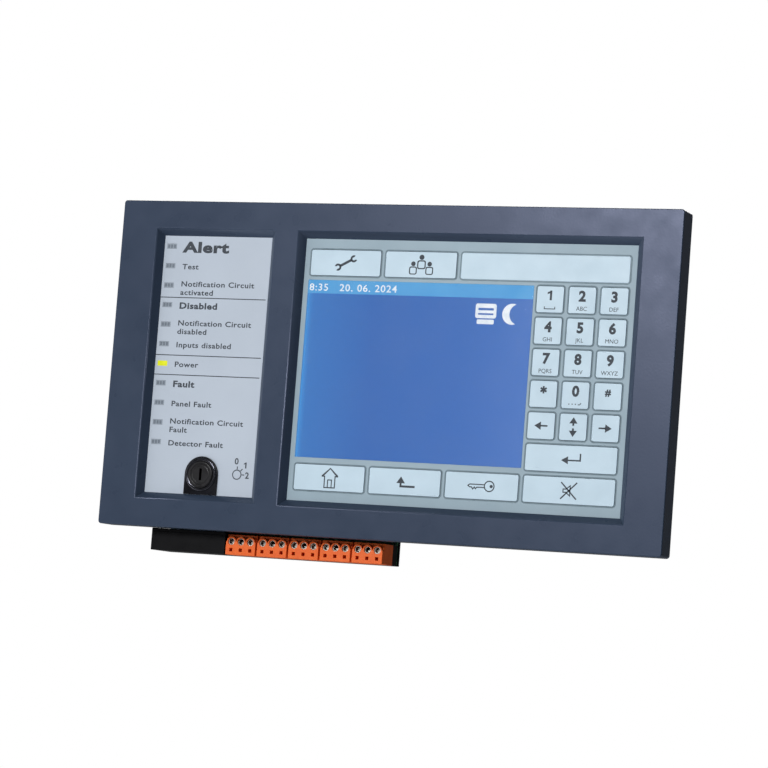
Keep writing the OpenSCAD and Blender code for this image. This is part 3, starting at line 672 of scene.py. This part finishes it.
def rounded_box(x0, x1, z0, z1, radius):
    """A box with round corners."""
    corners = [(x1 - radius, z1 - radius, 0), (x0 + radius, z1 - radius, 90),
               (x0 + radius, z0 + radius, 180), (x1 - radius, z0 + radius, 270)]
    return [p for x, z, start in corners for p in arc(x, z, radius, start, start + 90, 5)]


def line(points, width):
    """The loop round a bent line of even width, with a mitre at each turn."""
    spots = [Vector(p) for p in points]
    steps = [(b - a).normalized() for a, b in zip(spots, spots[1:])]
    near, far = [], []
    for i, spot in enumerate(spots):
        before, after = steps[max(i - 1, 0)], steps[min(i, len(steps) - 1)]
        across = Vector((-(before + after).y, (before + after).x)).normalized()
        reach = width / 2 / max(0.3, across.dot(Vector((-before.y, before.x))))
        near.append(spot + across * reach)
        far.append(spot - across * reach)
    return near + far[::-1]


def figure_one(height):
    """A figure one with a flag, about its middle: the font's own is a bare stroke."""
    half = height / 2
    return [(x * half, z * half) for x, z in (
        (0.36, 1.0), (0.36, -1.0), (-0.1, -1.0), (-0.1, 0.42), (-0.62, 0.24), (-0.62, 0.64),
        (-0.15, 0.82), (-0.05, 1.0))]


def star(radius):
    """A star of six blunt arms."""
    points = []
    for turn in range(0, 360, 60):
        points += arc(0, 0, radius, turn + 74, turn + 106, 2)
        points += arc(0, 0, 0.5 * radius, turn + 120, turn + 121, 1)[:1]
    return points


print("points in a rounded box:", len(rounded_box(0, 10, 0, 5, 1)))

# %% [markdown]
# ## The indicator panel
# Each of the eleven indicators has a legend beside it, in lines under three bold headings. Thin
# rules part the groups. The legends are general words of this lesson's own, and the rules start at
# the panel's left edge, as they do on such panels.

# %% Print the indicator panel
INSERT_LIP = 3 * MM            # what the frame hides of both inserts
label_low, label_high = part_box("label_insert")
label_face = label_low.y
label_x0 = label_low.x + INSERT_LIP
label_x1 = label_high.x - INSERT_LIP
lamp_low, lamp_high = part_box("indicator_lenses")
power_low, power_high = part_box("power_lens")
lamp_half = (power_high.z - power_low.z) / 2
lamp_x = (power_low.x + power_high.x) / 2
first_lamp = lamp_high.z - lamp_half
lamp_pitch = (lamp_high.z - lamp_low.z - 2 * lamp_half) / 10
words_x = lamp_x + 6.6 * MM
SMALL, MEDIUM, LARGE = (2.5 * MM, 0.02, 1.25), (2.9 * MM, 0.035, 1.3), (4.9 * MM, 0.045, 1.5)
LEGENDS = [
    # indicator counted from the top, lines, style: height of a capital, boldness, stretch
    (0, ["Alert"], LARGE), (1, ["Test"], SMALL), (2, ["Notification Circuit", "activated"], SMALL),
    (3, ["Disabled"], MEDIUM), (4, ["Notification Circuit", "disabled"], SMALL),
    (5, ["Inputs disabled"], SMALL), (6, ["Power"], SMALL), (7, ["Fault"], MEDIUM),
    (8, ["Panel Fault"], SMALL), (9, ["Notification Circuit", "Fault"], SMALL),
    (10, ["Detector Fault"], SMALL),
]
RULES = (2.62, 5.57, 6.57)     # each rule's place, counted in indicators from the top
RULE_HALF = 0.22               # half a rule's height, in mm
LINE_DROP = 4.2 * MM
prints = []
for lamp, lines, (cap, bold, stretch) in LEGENDS:
    middle = first_lamp - lamp * lamp_pitch - 0.3 * MM
    top = middle + (1.1 * MM if len(lines) > 1 else 0.0)
    for row, words in enumerate(lines):
        prints.append(printed_words(words, words_x, top - row * LINE_DROP, cap, label_face,
                                    dark_ink, bold, width=stretch, gap=1.08))
rule_w = (label_x1 - label_x0) / MM - 1
rule = [(0, -RULE_HALF), (rule_w, -RULE_HALF), (rule_w, RULE_HALF), (0, RULE_HALF)]
for lamp in RULES:
    prints.append(printed_shape([rule], label_x0, first_lamp - lamp * lamp_pitch, label_face,
                                dark_ink))
settle(joined(prints), "indicator_legends", "panel")
print("legends:", len(LEGENDS), "first lamp at z", round(first_lamp / MM, 1), "mm")

# %% [markdown]
# Each dull window has a three-part diffuser core, which shows as three darker upright cells. They
# are laid on the window's face. The lit window has none, because its light fills the guide.

# %% Cells in the indicator windows
CELL_W, CELL_H, CELL_PITCH = 1.15, 1.7, 1.55
cells = []
for lamp in range(11):
    if abs(first_lamp - lamp * lamp_pitch - (power_low.z + power_high.z) / 2) < 1 * MM:
        continue
    for step in (-1, 0, 1):
        cell = rounded_box(step * CELL_PITCH - CELL_W / 2, step * CELL_PITCH + CELL_W / 2,
                           -CELL_H / 2, CELL_H / 2, 0.2)
        cells.append(printed_shape([cell], lamp_x, first_lamp - lamp * lamp_pitch, lamp_low.y,
                                   lens_shade))
settle(joined(cells), "indicator_cells", "panel")
print("cells:", len(cells))

# %% [markdown]
# ## The key switch
# The switch has three positions, printed beside it as three figures round a small turning symbol.
# The lock's face is turned in steps: a low rim runs round the barrel, and a fine bead runs round
# the cylinder and turns with it.

# %% Print the switch positions
lock_low, lock_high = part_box("lock_ring")
lock_x = (lock_low.x + lock_high.x) / 2
lock_z = (lock_low.z + lock_high.z) / 2
dial = [printed_words(figure, lock_x + x * MM, lock_z + z * MM, 2.9 * MM, label_face, dark_ink,
                      0.025, "CENTER")
        for figure, x, z in (("0", 18.3, 7.4), ("2", 24.4, 0.7))]
dial.append(printed_shape([figure_one(2.9)], lock_x + 23.2 * MM, lock_z + 5.6 * MM, label_face,
                          dark_ink))
symbol_x, symbol_z = lock_x + 18.9 * MM, lock_z + 0.9 * MM
dial.append(printed_shape([arc(0, 0, 2.5), arc(0, 0, 2.0)], symbol_x, symbol_z, label_face,
                          dark_ink))
for angle in (90, 45, 0):
    c, s = math.cos(math.radians(angle)), math.sin(math.radians(angle))
    dial.append(printed_shape([line([(2.6 * c, 2.6 * s), (4.0 * c, 4.0 * s)], 0.5)], symbol_x,
                              symbol_z, label_face, dark_ink))
settle(joined(dial), "switch_position_print", "panel")
print("switch at", round(lock_x / MM, 1), round(lock_z / MM, 1), "mm")

# %% Turn the lock's face
barrel_low, barrel_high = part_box("lock_barrel")
cylinder_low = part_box("lock_cylinder")[0]


def turned(profile, x, z, finish, steps=48):
    """Spins a profile of (radius, depth) points in mm about the Y axis through (x, z)."""
    bpy.ops.mesh.primitive_circle_add(vertices=len(profile), radius=MM)
    piece = bpy.context.object
    for vertex, (radius, depth) in zip(piece.data.vertices, profile):
        vertex.co = (x + radius * MM, depth * MM, z)
    pick(piece)
    mode("EDIT")
    bpy.ops.mesh.select_all(action="SELECT")
    bpy.ops.mesh.spin(steps=steps, angle=math.radians(360), center=(x, 0, z), axis=(0, 1, 0))
    cleaned(0.002 * MM)
    mode("OBJECT")
    bpy.ops.object.transform_apply()
    piece.data.materials.append(finish)
    even_shading(piece, 50)
    return piece


barrel_y, cylinder_y = barrel_low.y / MM, cylinder_low.y / MM
barrel_r = (barrel_high.x - barrel_low.x) / 2 / MM
rim = turned([(5.3, barrel_y + 0.02), (5.35, barrel_y - 0.12), (5.5, barrel_y - 0.16),
              (barrel_r - 0.5, barrel_y - 0.16), (barrel_r - 0.2, barrel_y - 0.1),
              (barrel_r - 0.1, barrel_y + 0.02)], lock_x, lock_z, black_metal)
settle(rim, "barrel_face_rim", "panel")
bead = turned([(4.1, cylinder_y + 0.02), (4.15, cylinder_y - 0.1), (4.3, cylinder_y - 0.14),
               (4.45, cylinder_y - 0.1), (4.5, cylinder_y + 0.02)], lock_x, lock_z, black_metal)
settle(bead, "cylinder_face_bead", "key_switch")
print("barrel face at y", round(barrel_y, 2), "cylinder face at y", round(cylinder_y, 2))

# %% [markdown]
# ## Pads and blocks
# Small moulded blocks, foil labels and the blank field of the keypad share one shape: a block with
# round corners and a soft rim. It starts as a cube of the right size and place, its four corner
# edges are bevelled wide, and then the rim of its outer face is bevelled narrow.

# %% A block with round corners and a soft rim


def rimmed_block(name, lowest, highest, axis, corner, rim, finish, body):
    """Makes a block from two corner points; its outer face looks towards the signed axis."""
    along = "xyz".index(axis[1])
    outer = highest[along] if axis[0] == "+" else lowest[along]
    block = box_at([(a + b) / 2 for a, b in zip(lowest, highest)],
                   [b - a for a, b in zip(lowest, highest)])
    for width, segments, wanted in (
            (corner, 6, lambda edge, a, b: abs(a[along] - b[along]) > 1e-6),
            (rim, 3, lambda edge, a, b: max(abs(a[along] - outer), abs(b[along] - outer)) < 1e-7)):
        select_edges(block.data, wanted)
        mode("EDIT")
        bpy.ops.mesh.select_mode(type="EDGE")
        bpy.ops.mesh.bevel(offset=width, segments=segments, affect="EDGES", clamp_overlap=False)
        mode("OBJECT")
    block.data.materials.append(finish)
    even_shading(block)
    settle(block, name, body)


# %% [markdown]
# ## The keypad
# A grey line is printed round every key's window. The long field at the top right is a key's shape
# with nothing on it: it carries no mark here. It is part of the keypad and doesn't move.

# %% Print the key outlines and place the blank field
CAP_INSET = 0.9 * MM           # from a key node's box to its cap: the hidden rim and the gap
KEY_GAP, LINE_W, KEY_R = 0.2, 0.6, 1.2
FIELD_RISE, FIELD_SUNK = 0.3 * MM, 0.1 * MM
pad_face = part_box("keypad_plate")[0].y


def cap_box(node):
    """Left, right, bottom and top of the part of a key that shows."""
    key_low, key_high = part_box(node)
    return (key_low.x + CAP_INSET, key_high.x - CAP_INSET, key_low.z + CAP_INSET,
            key_high.z - CAP_INSET)


def key_outline(x0, x1, z0, z1):
    """Prints the line round a key whose cap has these sides."""
    half_w, half_h = (x1 - x0) / 2 / MM + KEY_GAP, (z1 - z0) / 2 / MM + KEY_GAP
    outer = rounded_box(-half_w - LINE_W, half_w + LINE_W, -half_h - LINE_W, half_h + LINE_W,
                        KEY_R + LINE_W)
    inner = rounded_box(-half_w, half_w, -half_h, half_h, KEY_R)
    return printed_shape([outer, inner], (x0 + x1) / 2, (z0 + z1) / 2, pad_face, line_ink)


groups_box, three_box = cap_box("key_groups"), cap_box("key_3")
service_box = cap_box("key_service")
field = (groups_box[1] + groups_box[0] - service_box[1], three_box[1], groups_box[2],
         groups_box[3])
outlines = [key_outline(*cap_box(node)) for node in key_nodes] + [key_outline(*field)]
settle(joined(outlines), "key_outlines", "panel")
rimmed_block("blank_field", (field[0], pad_face - FIELD_RISE, field[2]),
             (field[1], pad_face + FIELD_SUNK, field[3]), "-y", 1.0 * MM, 0.2 * MM, key_film,
             "panel")
print("outlines:", len(outlines), "blank field width:", round((field[1] - field[0]) / MM, 1), "mm")

# %% [markdown]
# ## Legends on the keys
# Each legend rides on its own key, so that it goes down with the cap. Most number keys carry a bold
# figure over three or four small letters, as a telephone does.

# %% Print the number keys
LETTERS = {"2": "ABC", "3": "DEF", "4": "GHI", "5": "JKL", "6": "MNO", "7": "PQRS", "8": "TUV",
           "9": "WXYZ"}
FIGURE_H, FIGURE_RISE, FIGURE_BOLD = 4.6, 1.9, 0.045
LETTERS_H, LETTERS_DROP = 1.9, -4.0
cap_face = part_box("key_5")[0].y


def key_middle(name):
    """Middle of a key's face, as x and z."""
    x0, x1, z0, z1 = cap_box("key_" + name)
    return (x0 + x1) / 2, (z0 + z1) / 2


def legend(name, *parts):
    """Prints outlines in mm about a key's middle, joins them with finished prints and settles them."""
    x, z = key_middle(name)
    prints = []
    for part in parts:
        if not isinstance(part, bpy.types.Object):
            loops = part if isinstance(part, tuple) else (part,)     # a tuple holds holes as well
            part = printed_shape(loops, x, z, cap_face, dark_ink)
        prints.append(part)
    settle(joined(prints), f"legend_{name}", f"key_{name}_cap")


def key_words(name, words, dx, dz, cap, bold):
    """Prints words centred at dx and dz in mm from the middle of a key."""
    x, z = key_middle(name)
    return printed_words(words, x + dx * MM, z + dz * MM, cap * MM, cap_face, dark_ink, bold,
                         "CENTER")


for figure, letters in LETTERS.items():
    legend(figure, key_words(figure, figure, 0, FIGURE_RISE, FIGURE_H, FIGURE_BOLD),
           key_words(figure, letters, 0, LETTERS_DROP, LETTERS_H, 0.0))
one = [(x, z + FIGURE_RISE) for x, z in figure_one(FIGURE_H)]
legend("1", one, line([(-2.6, -3.4), (-2.6, -4.5), (2.6, -4.5), (2.6, -3.4)], 0.4))
dots = [arc(x, -4.2, 0.3, steps=10) for x in (-2.9, -1.3, 0.3)]
legend("0", key_words("0", "0", 0, FIGURE_RISE, FIGURE_H, FIGURE_BOLD), *dots,
       line([(1.5, -4.4), (2.4, -4.4), (3.0, -3.6)], 0.4))
legend("star", [(x, z + 2.0) for x, z in star(1.75)])
legend("hash", key_words("hash", "#", 0, FIGURE_RISE, 3.0, FIGURE_BOLD))
print("number keys are printed")

# %% [markdown]
# The other keys carry symbols: arrows, a return sign, a crossed-out horn, a house, an upward hook,
# a key, a spanner and three people.

# %% Print the arrow, return and hook keys
ARROW_W = 0.75


def arrow_head(x, z, dx, dz, length=3.2, half=1.95):
    """A triangle whose tip is at (x, z) and which points along (dx, dz)."""
    back_x, back_z = x - dx * length, z - dz * length
    return [(x, z), (back_x - dz * half, back_z + dx * half), (back_x + dz * half,
                                                               back_z - dx * half)]


legend("left", arrow_head(-3.3, 0, -1, 0), line([(-0.3, 0), (3.2, 0)], ARROW_W))
legend("right", arrow_head(3.0, 0, 1, 0), line([(-3.4, 0), (0.0, 0)], ARROW_W))
legend("up_down", *[part for way in (1, -1) for part in (
    arrow_head(0, 4.6 * way, 0, way, 2.9, 2.0), line([(0, 1.8 * way), (0, 0.6 * way)], 0.9))])
legend("enter", arrow_head(-4.8, -0.7, -1, 0, 3.4, 1.85),
       line([(-1.6, -0.7), (4.6, -0.7), (4.6, 2.6)], 0.7))
legend("back", arrow_head(-1.9, 2.6, 0, 1, 3.2, 2.2),
       line([(-1.9, -0.4), (-1.9, -2.1), (5.4, -2.1)], 1.0))
print("arrows are printed")

# %% Print the house, key, horn, spanner and people
FINE, BROAD = 0.5, 0.65
house = [(0.4, 5.0), (-3.9, 1.2), (-3.9, 0.5), (-2.6, 0.5), (-2.6, -4.9), (3.4, -4.9), (3.4, 0.5),
         (4.7, 0.5), (4.7, 1.2)]
hollow = [(0.4, 4.3), (-2.7, 1.05), (-2.05, 1.05), (-2.05, -4.35), (2.85, -4.35), (2.85, 1.05),
          (3.5, 1.05)]
door = line([(-0.6, -4.5), (-0.6, -0.9), (1.4, -0.9), (1.4, -4.5)], FINE)
legend("home", (house, hollow), door)

shaft = line([(1.35, 0.75), (-5.9, 0.75), (-6.8, 0.1), (-5.9, -0.55), (-4.9, -0.55), (-4.3, -1.5),
              (-3.5, -0.55), (-2.9, -1.3), (-2.3, -0.55), (1.35, -0.55)], FINE)
legend("access", (arc(3.9, 0.1, 2.7), arc(3.9, 0.1, 2.15)), arc(4.9, 0.1, 0.8, steps=14), shaft)

horn = [(-3.0, -1.0), (-1.4, -1.0), (0.9, -2.9), (0.9, 2.9), (-1.4, 1.0), (-3.0, 1.0)]
horn_hole = [(-2.5, -0.5), (-1.2, -0.5), (0.4, -1.85), (0.4, 1.85), (-1.2, 0.5), (-2.5, 0.5)]
legend("mute", (horn, horn_hole), line([(-3.9, -3.9), (3.9, 3.9)], BROAD),
       line([(-3.9, 3.9), (3.9, -3.9)], BROAD))


def spanner_jaw(x, z, facing):
    """An open jaw round (x, z), whose mouth faces an angle in degrees."""
    return (arc(x, z, 1.75, facing + 38, facing + 322, 20)
            + arc(x, z, 0.75, facing + 300, facing + 60, 10))


legend("service", spanner_jaw(-3.9, -2.1, 205), spanner_jaw(4.1, 2.1, 25),
       line([(-2.7, -1.45), (2.9, 1.5)], 1.25))

people = []
for x, z, size in ((-3.9, -1.6, 1.0), (4.5, -1.6, 1.0), (0.3, 1.4, 1.1)):
    people.append(arc(x, z + 2.0 * size, 1.15 * size, steps=20))
    coat = rounded_box(x - 2.0 * size, x + 2.0 * size, z - 3.2 * size, z + 0.7 * size, 1.0 * size)
    lining = rounded_box(x - 1.45 * size, x + 1.45 * size, z - 2.7 * size, z + 0.15 * size,
                         0.6 * size)
    people.append((coat, lining))
legend("groups", *people)
print("symbols are printed")

# %% [markdown]
# ## What the display shows
# The screen is a liquid crystal cell, so its picture has no height of its own. The header bar, the
# clock and the two symbols are laid on the cell as layers of hundredths of a millimetre, in the
# narrow gap behind the window. The lamp lies along the left edge, where the blue is paler.

# %% Light the screen
screen_low, screen_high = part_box("display_cell")
screen_w = screen_high.x - screen_low.x
blue_place = add(screen_blue, "TexCoord").outputs["Object"]
blue_axes = add(screen_blue, "SeparateXYZ", inputs={"Vector": blue_place})
across = add(screen_blue, "MapRange", inputs={"Value": blue_axes.outputs["X"],
                                              "From Min": screen_low.x, "From Max": screen_high.x})
tones = add(screen_blue, "ValToRGB", inputs={"Fac": across.outputs["Result"]})
stops = tones.color_ramp.elements
stops[0].color, stops[1].color = linear("#4C92D6"), linear("#5279C0")
for position, tone in ((0.025, "#4479BF"), (0.3, "#426DB4"), (0.7, "#4670B8")):
    stops.new(position).color = linear(tone)
plug_in(screen_blue, "Emission Color", tones.outputs["Color"])

HEADER_H = 6.4 * MM
LAYER = 0.015 * MM
header_z = screen_high.z - HEADER_H / 2
half_w, half_h = screen_w / 2 / MM, HEADER_H / 2 / MM
bar = printed_shape([[(-half_w, -half_h), (half_w, -half_h), (half_w, half_h), (-half_w, half_h)]],
                    (screen_low.x + screen_high.x) / 2, header_z, screen_low.y, screen_header)
settle(bar, "screen_header", "panel")
clock = printed_words("8:35   20. 06. 2024", screen_low.x + 0.4 * MM, header_z - 0.2 * MM,
                      3.3 * MM, screen_low.y - LAYER, screen_white, 0.01, width=1.1, gap=1.12)
settle(clock, "screen_clock", "panel")
print("screen width:", round(screen_w / MM, 1), "mm")

# %% Draw the screen's symbols
device_x, device_z = screen_high.x - 23.6 * MM, screen_high.z - 14.0 * MM
device_top = rounded_box(-5.3, 5.3, -2.1, 4.9, 1.1)
device_foot = rounded_box(-4.3, 4.3, -4.9, -2.7, 0.5)
slots = [rounded_box(-3.9, 3.9, 1.7, 2.8, 0.3), rounded_box(-3.9, 3.9, -0.5, 0.3, 0.3)]
moon_x, moon_z = screen_high.x - 10.3 * MM, screen_high.z - 13.8 * MM
MOON_R, SHADE_X = 5.0, 3.6     # two equal circles, the second one set off to the right
tip = math.degrees(math.acos(SHADE_X / 2 / MOON_R))
moon = arc(0, 0, MOON_R, tip, 360 - tip, 32) + arc(SHADE_X, 0, MOON_R, 180 + tip, 180 - tip, 24)
symbols = [printed_shape(loops, x, z, screen_low.y, screen_white) for loops, x, z in (
    ([device_top, *slots], device_x, device_z), ([device_foot], device_x, device_z),
    ([moon], moon_x, moon_z))]
settle(joined(symbols), "screen_symbols", "panel")
print("shapes on the screen:", len(symbols))

# %% [markdown]
# ## Wire clamps
# Inside every wire entry sits a tinned clamp: a funnel that guides the wire, and behind it a square
# sleeve with a spring tongue that lies slanting across it. One clamp is modelled and then copied
# for each pole, and the three clamps of a plug are joined, because they come out with it.

# %% Model one clamp and copy it
POLES, POLE_PITCH, PLUG_SIDE = 3, 5.08 * MM, 0.3 * MM
ENTRY_DROP = 3.44 * MM         # from a plug's top to the middle of its entries
SLEEVE = Vector((2.3, 3.2, 2.3)) * MM
sleeve_y = plug_front + 4.6 * MM
MOUTH_R = 1.6                  # of a wire entry, in mm


def bevelled_bar(place, tilt, sides, edge):
    """A straight bar tilted about the X axis, with its edges bevelled."""
    bar = box_at(place, sides, tilt)
    mode("EDIT")
    bpy.ops.mesh.select_all(action="SELECT")
    bpy.ops.mesh.bevel(offset=edge, segments=2, affect="EDGES")
    mode("OBJECT")
    return bar


def copies(pattern, shifts):
    """Copies a piece once for each shift along X."""
    made = []
    for shift in shifts:
        copy = pattern.copy()
        copy.data = pattern.data.copy()
        copy.data.transform(Matrix.Translation((shift, 0, 0)))
        bpy.context.collection.objects.link(copy)
        made.append(copy)
    return made


def new_clamp(x, z):
    """A sleeve with a tongue and a tinned funnel, round the line of an entry at (x, z)."""
    mouth = plug_front / MM + 0.8
    funnel = turned([(MOUTH_R + 0.05, mouth), (MOUTH_R + 0.05, mouth + 0.25),
                     (1.15, mouth + 1.3), (1.05, mouth + 1.3), (1.05, mouth + 1.1),
                     (MOUTH_R - 0.25, mouth)], x, z, metal["tinned_copper_alloy"], 24)
    sleeve = box_at((x, sleeve_y, z), SLEEVE)
    for face in sleeve.data.polygons:
        face.select = face.normal.y < -0.5
    mode("EDIT")
    bpy.ops.mesh.select_mode(type="FACE")
    bpy.ops.mesh.inset(thickness=0.3 * MM)
    bpy.ops.mesh.extrude_region_move(TRANSFORM_OT_translate={"value": (0, 2.8 * MM, 0)})
    mode("OBJECT")
    tongue = bevelled_bar((x, sleeve_y - 0.4 * MM, z + 0.1 * MM), -32,
                          (1.3 * MM, 3.4 * MM, 0.18 * MM), 0.05 * MM)
    return joined([tongue, funnel, sleeve])


first_low, first_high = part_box(plug_nodes[0])
first_x = first_low.x + PLUG_SIDE + POLE_PITCH / 2
entry_z = first_high.z - ENTRY_DROP
pattern = new_clamp(first_x, entry_z)
pattern.data.materials.clear()
pattern.data.materials.append(metal["tinned_copper_alloy"])
even_shading(pattern)
for number, node in enumerate(plug_nodes, 1):
    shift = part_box(node)[0].x - first_low.x
    clamps = copies(pattern, [shift + pole * POLE_PITCH for pole in range(POLES)])
    settle(joined(clamps), f"wire_clamps_{number}", f"plug_{number}")
bpy.data.objects.remove(pattern)
print("clamps:", len(plug_nodes) * POLES)

# %% [markdown]
# ## Sockets, cover and housing label
# The network jack has eight sprung contacts that slant across its opening. The blank cover beside
# the plugs has one bead along its front. The housing carries a foil label on its back, left
# blank here.

# %% Make the jack's contacts
socket_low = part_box("service_sockets")[0]
JACK_W, CONTACTS, CONTACT_PITCH = 16 * MM, 8, 1.02 * MM
CONTACT_SIDES = (0.42 * MM, 0.42 * MM, 8.5 * MM)
jack_x = socket_low.x + JACK_W / 2
jack_y = socket_low.y + 9.6 * MM
wire = bevelled_bar((0, jack_y - 1.1 * MM, socket_low.z + 5.2 * MM), 14, CONTACT_SIDES, 0.1 * MM)
wire.data.materials.append(metal["gold_plated_contact"])
even_shading(wire)
wires = copies(wire, [jack_x + (number - (CONTACTS - 1) / 2) * CONTACT_PITCH
                      for number in range(CONTACTS)])
bpy.data.objects.remove(wire)
settle(joined(wires), "jack_contacts", "panel")
print("jack contacts:", CONTACTS)

# %% Lay the cover's bead and the foil label
BEAD_RISE, BEAD_H = 8.5 * MM, 0.7 * MM
LABEL_HALF_W, LABEL_HALF_H = 35 * MM, 18 * MM
cover_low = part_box("terminal_carrier")[0]
bead_z = cover_low.z + BEAD_RISE
rimmed_block("cover_bead", (cover_low.x + 1 * MM, cover_low.y - 0.2 * MM, bead_z),
             (first_low.x - 2 * MM, cover_low.y + 0.1 * MM, bead_z + BEAD_H), "-y", 0.3 * MM,
             0.15 * MM, black_pbt, "panel")
rimmed_block("blank_rating_label", (-LABEL_HALF_W, housing_high.y - 0.05 * MM, -LABEL_HALF_H),
             (LABEL_HALF_W, housing_high.y + 0.08 * MM, LABEL_HALF_H), "+y", 2 * MM, 0.04 * MM,
             metal["aluminium_foil_label"], "panel")
print("cover and label are done")

# %% Bring the scene up to date
bpy.context.view_layer.update()
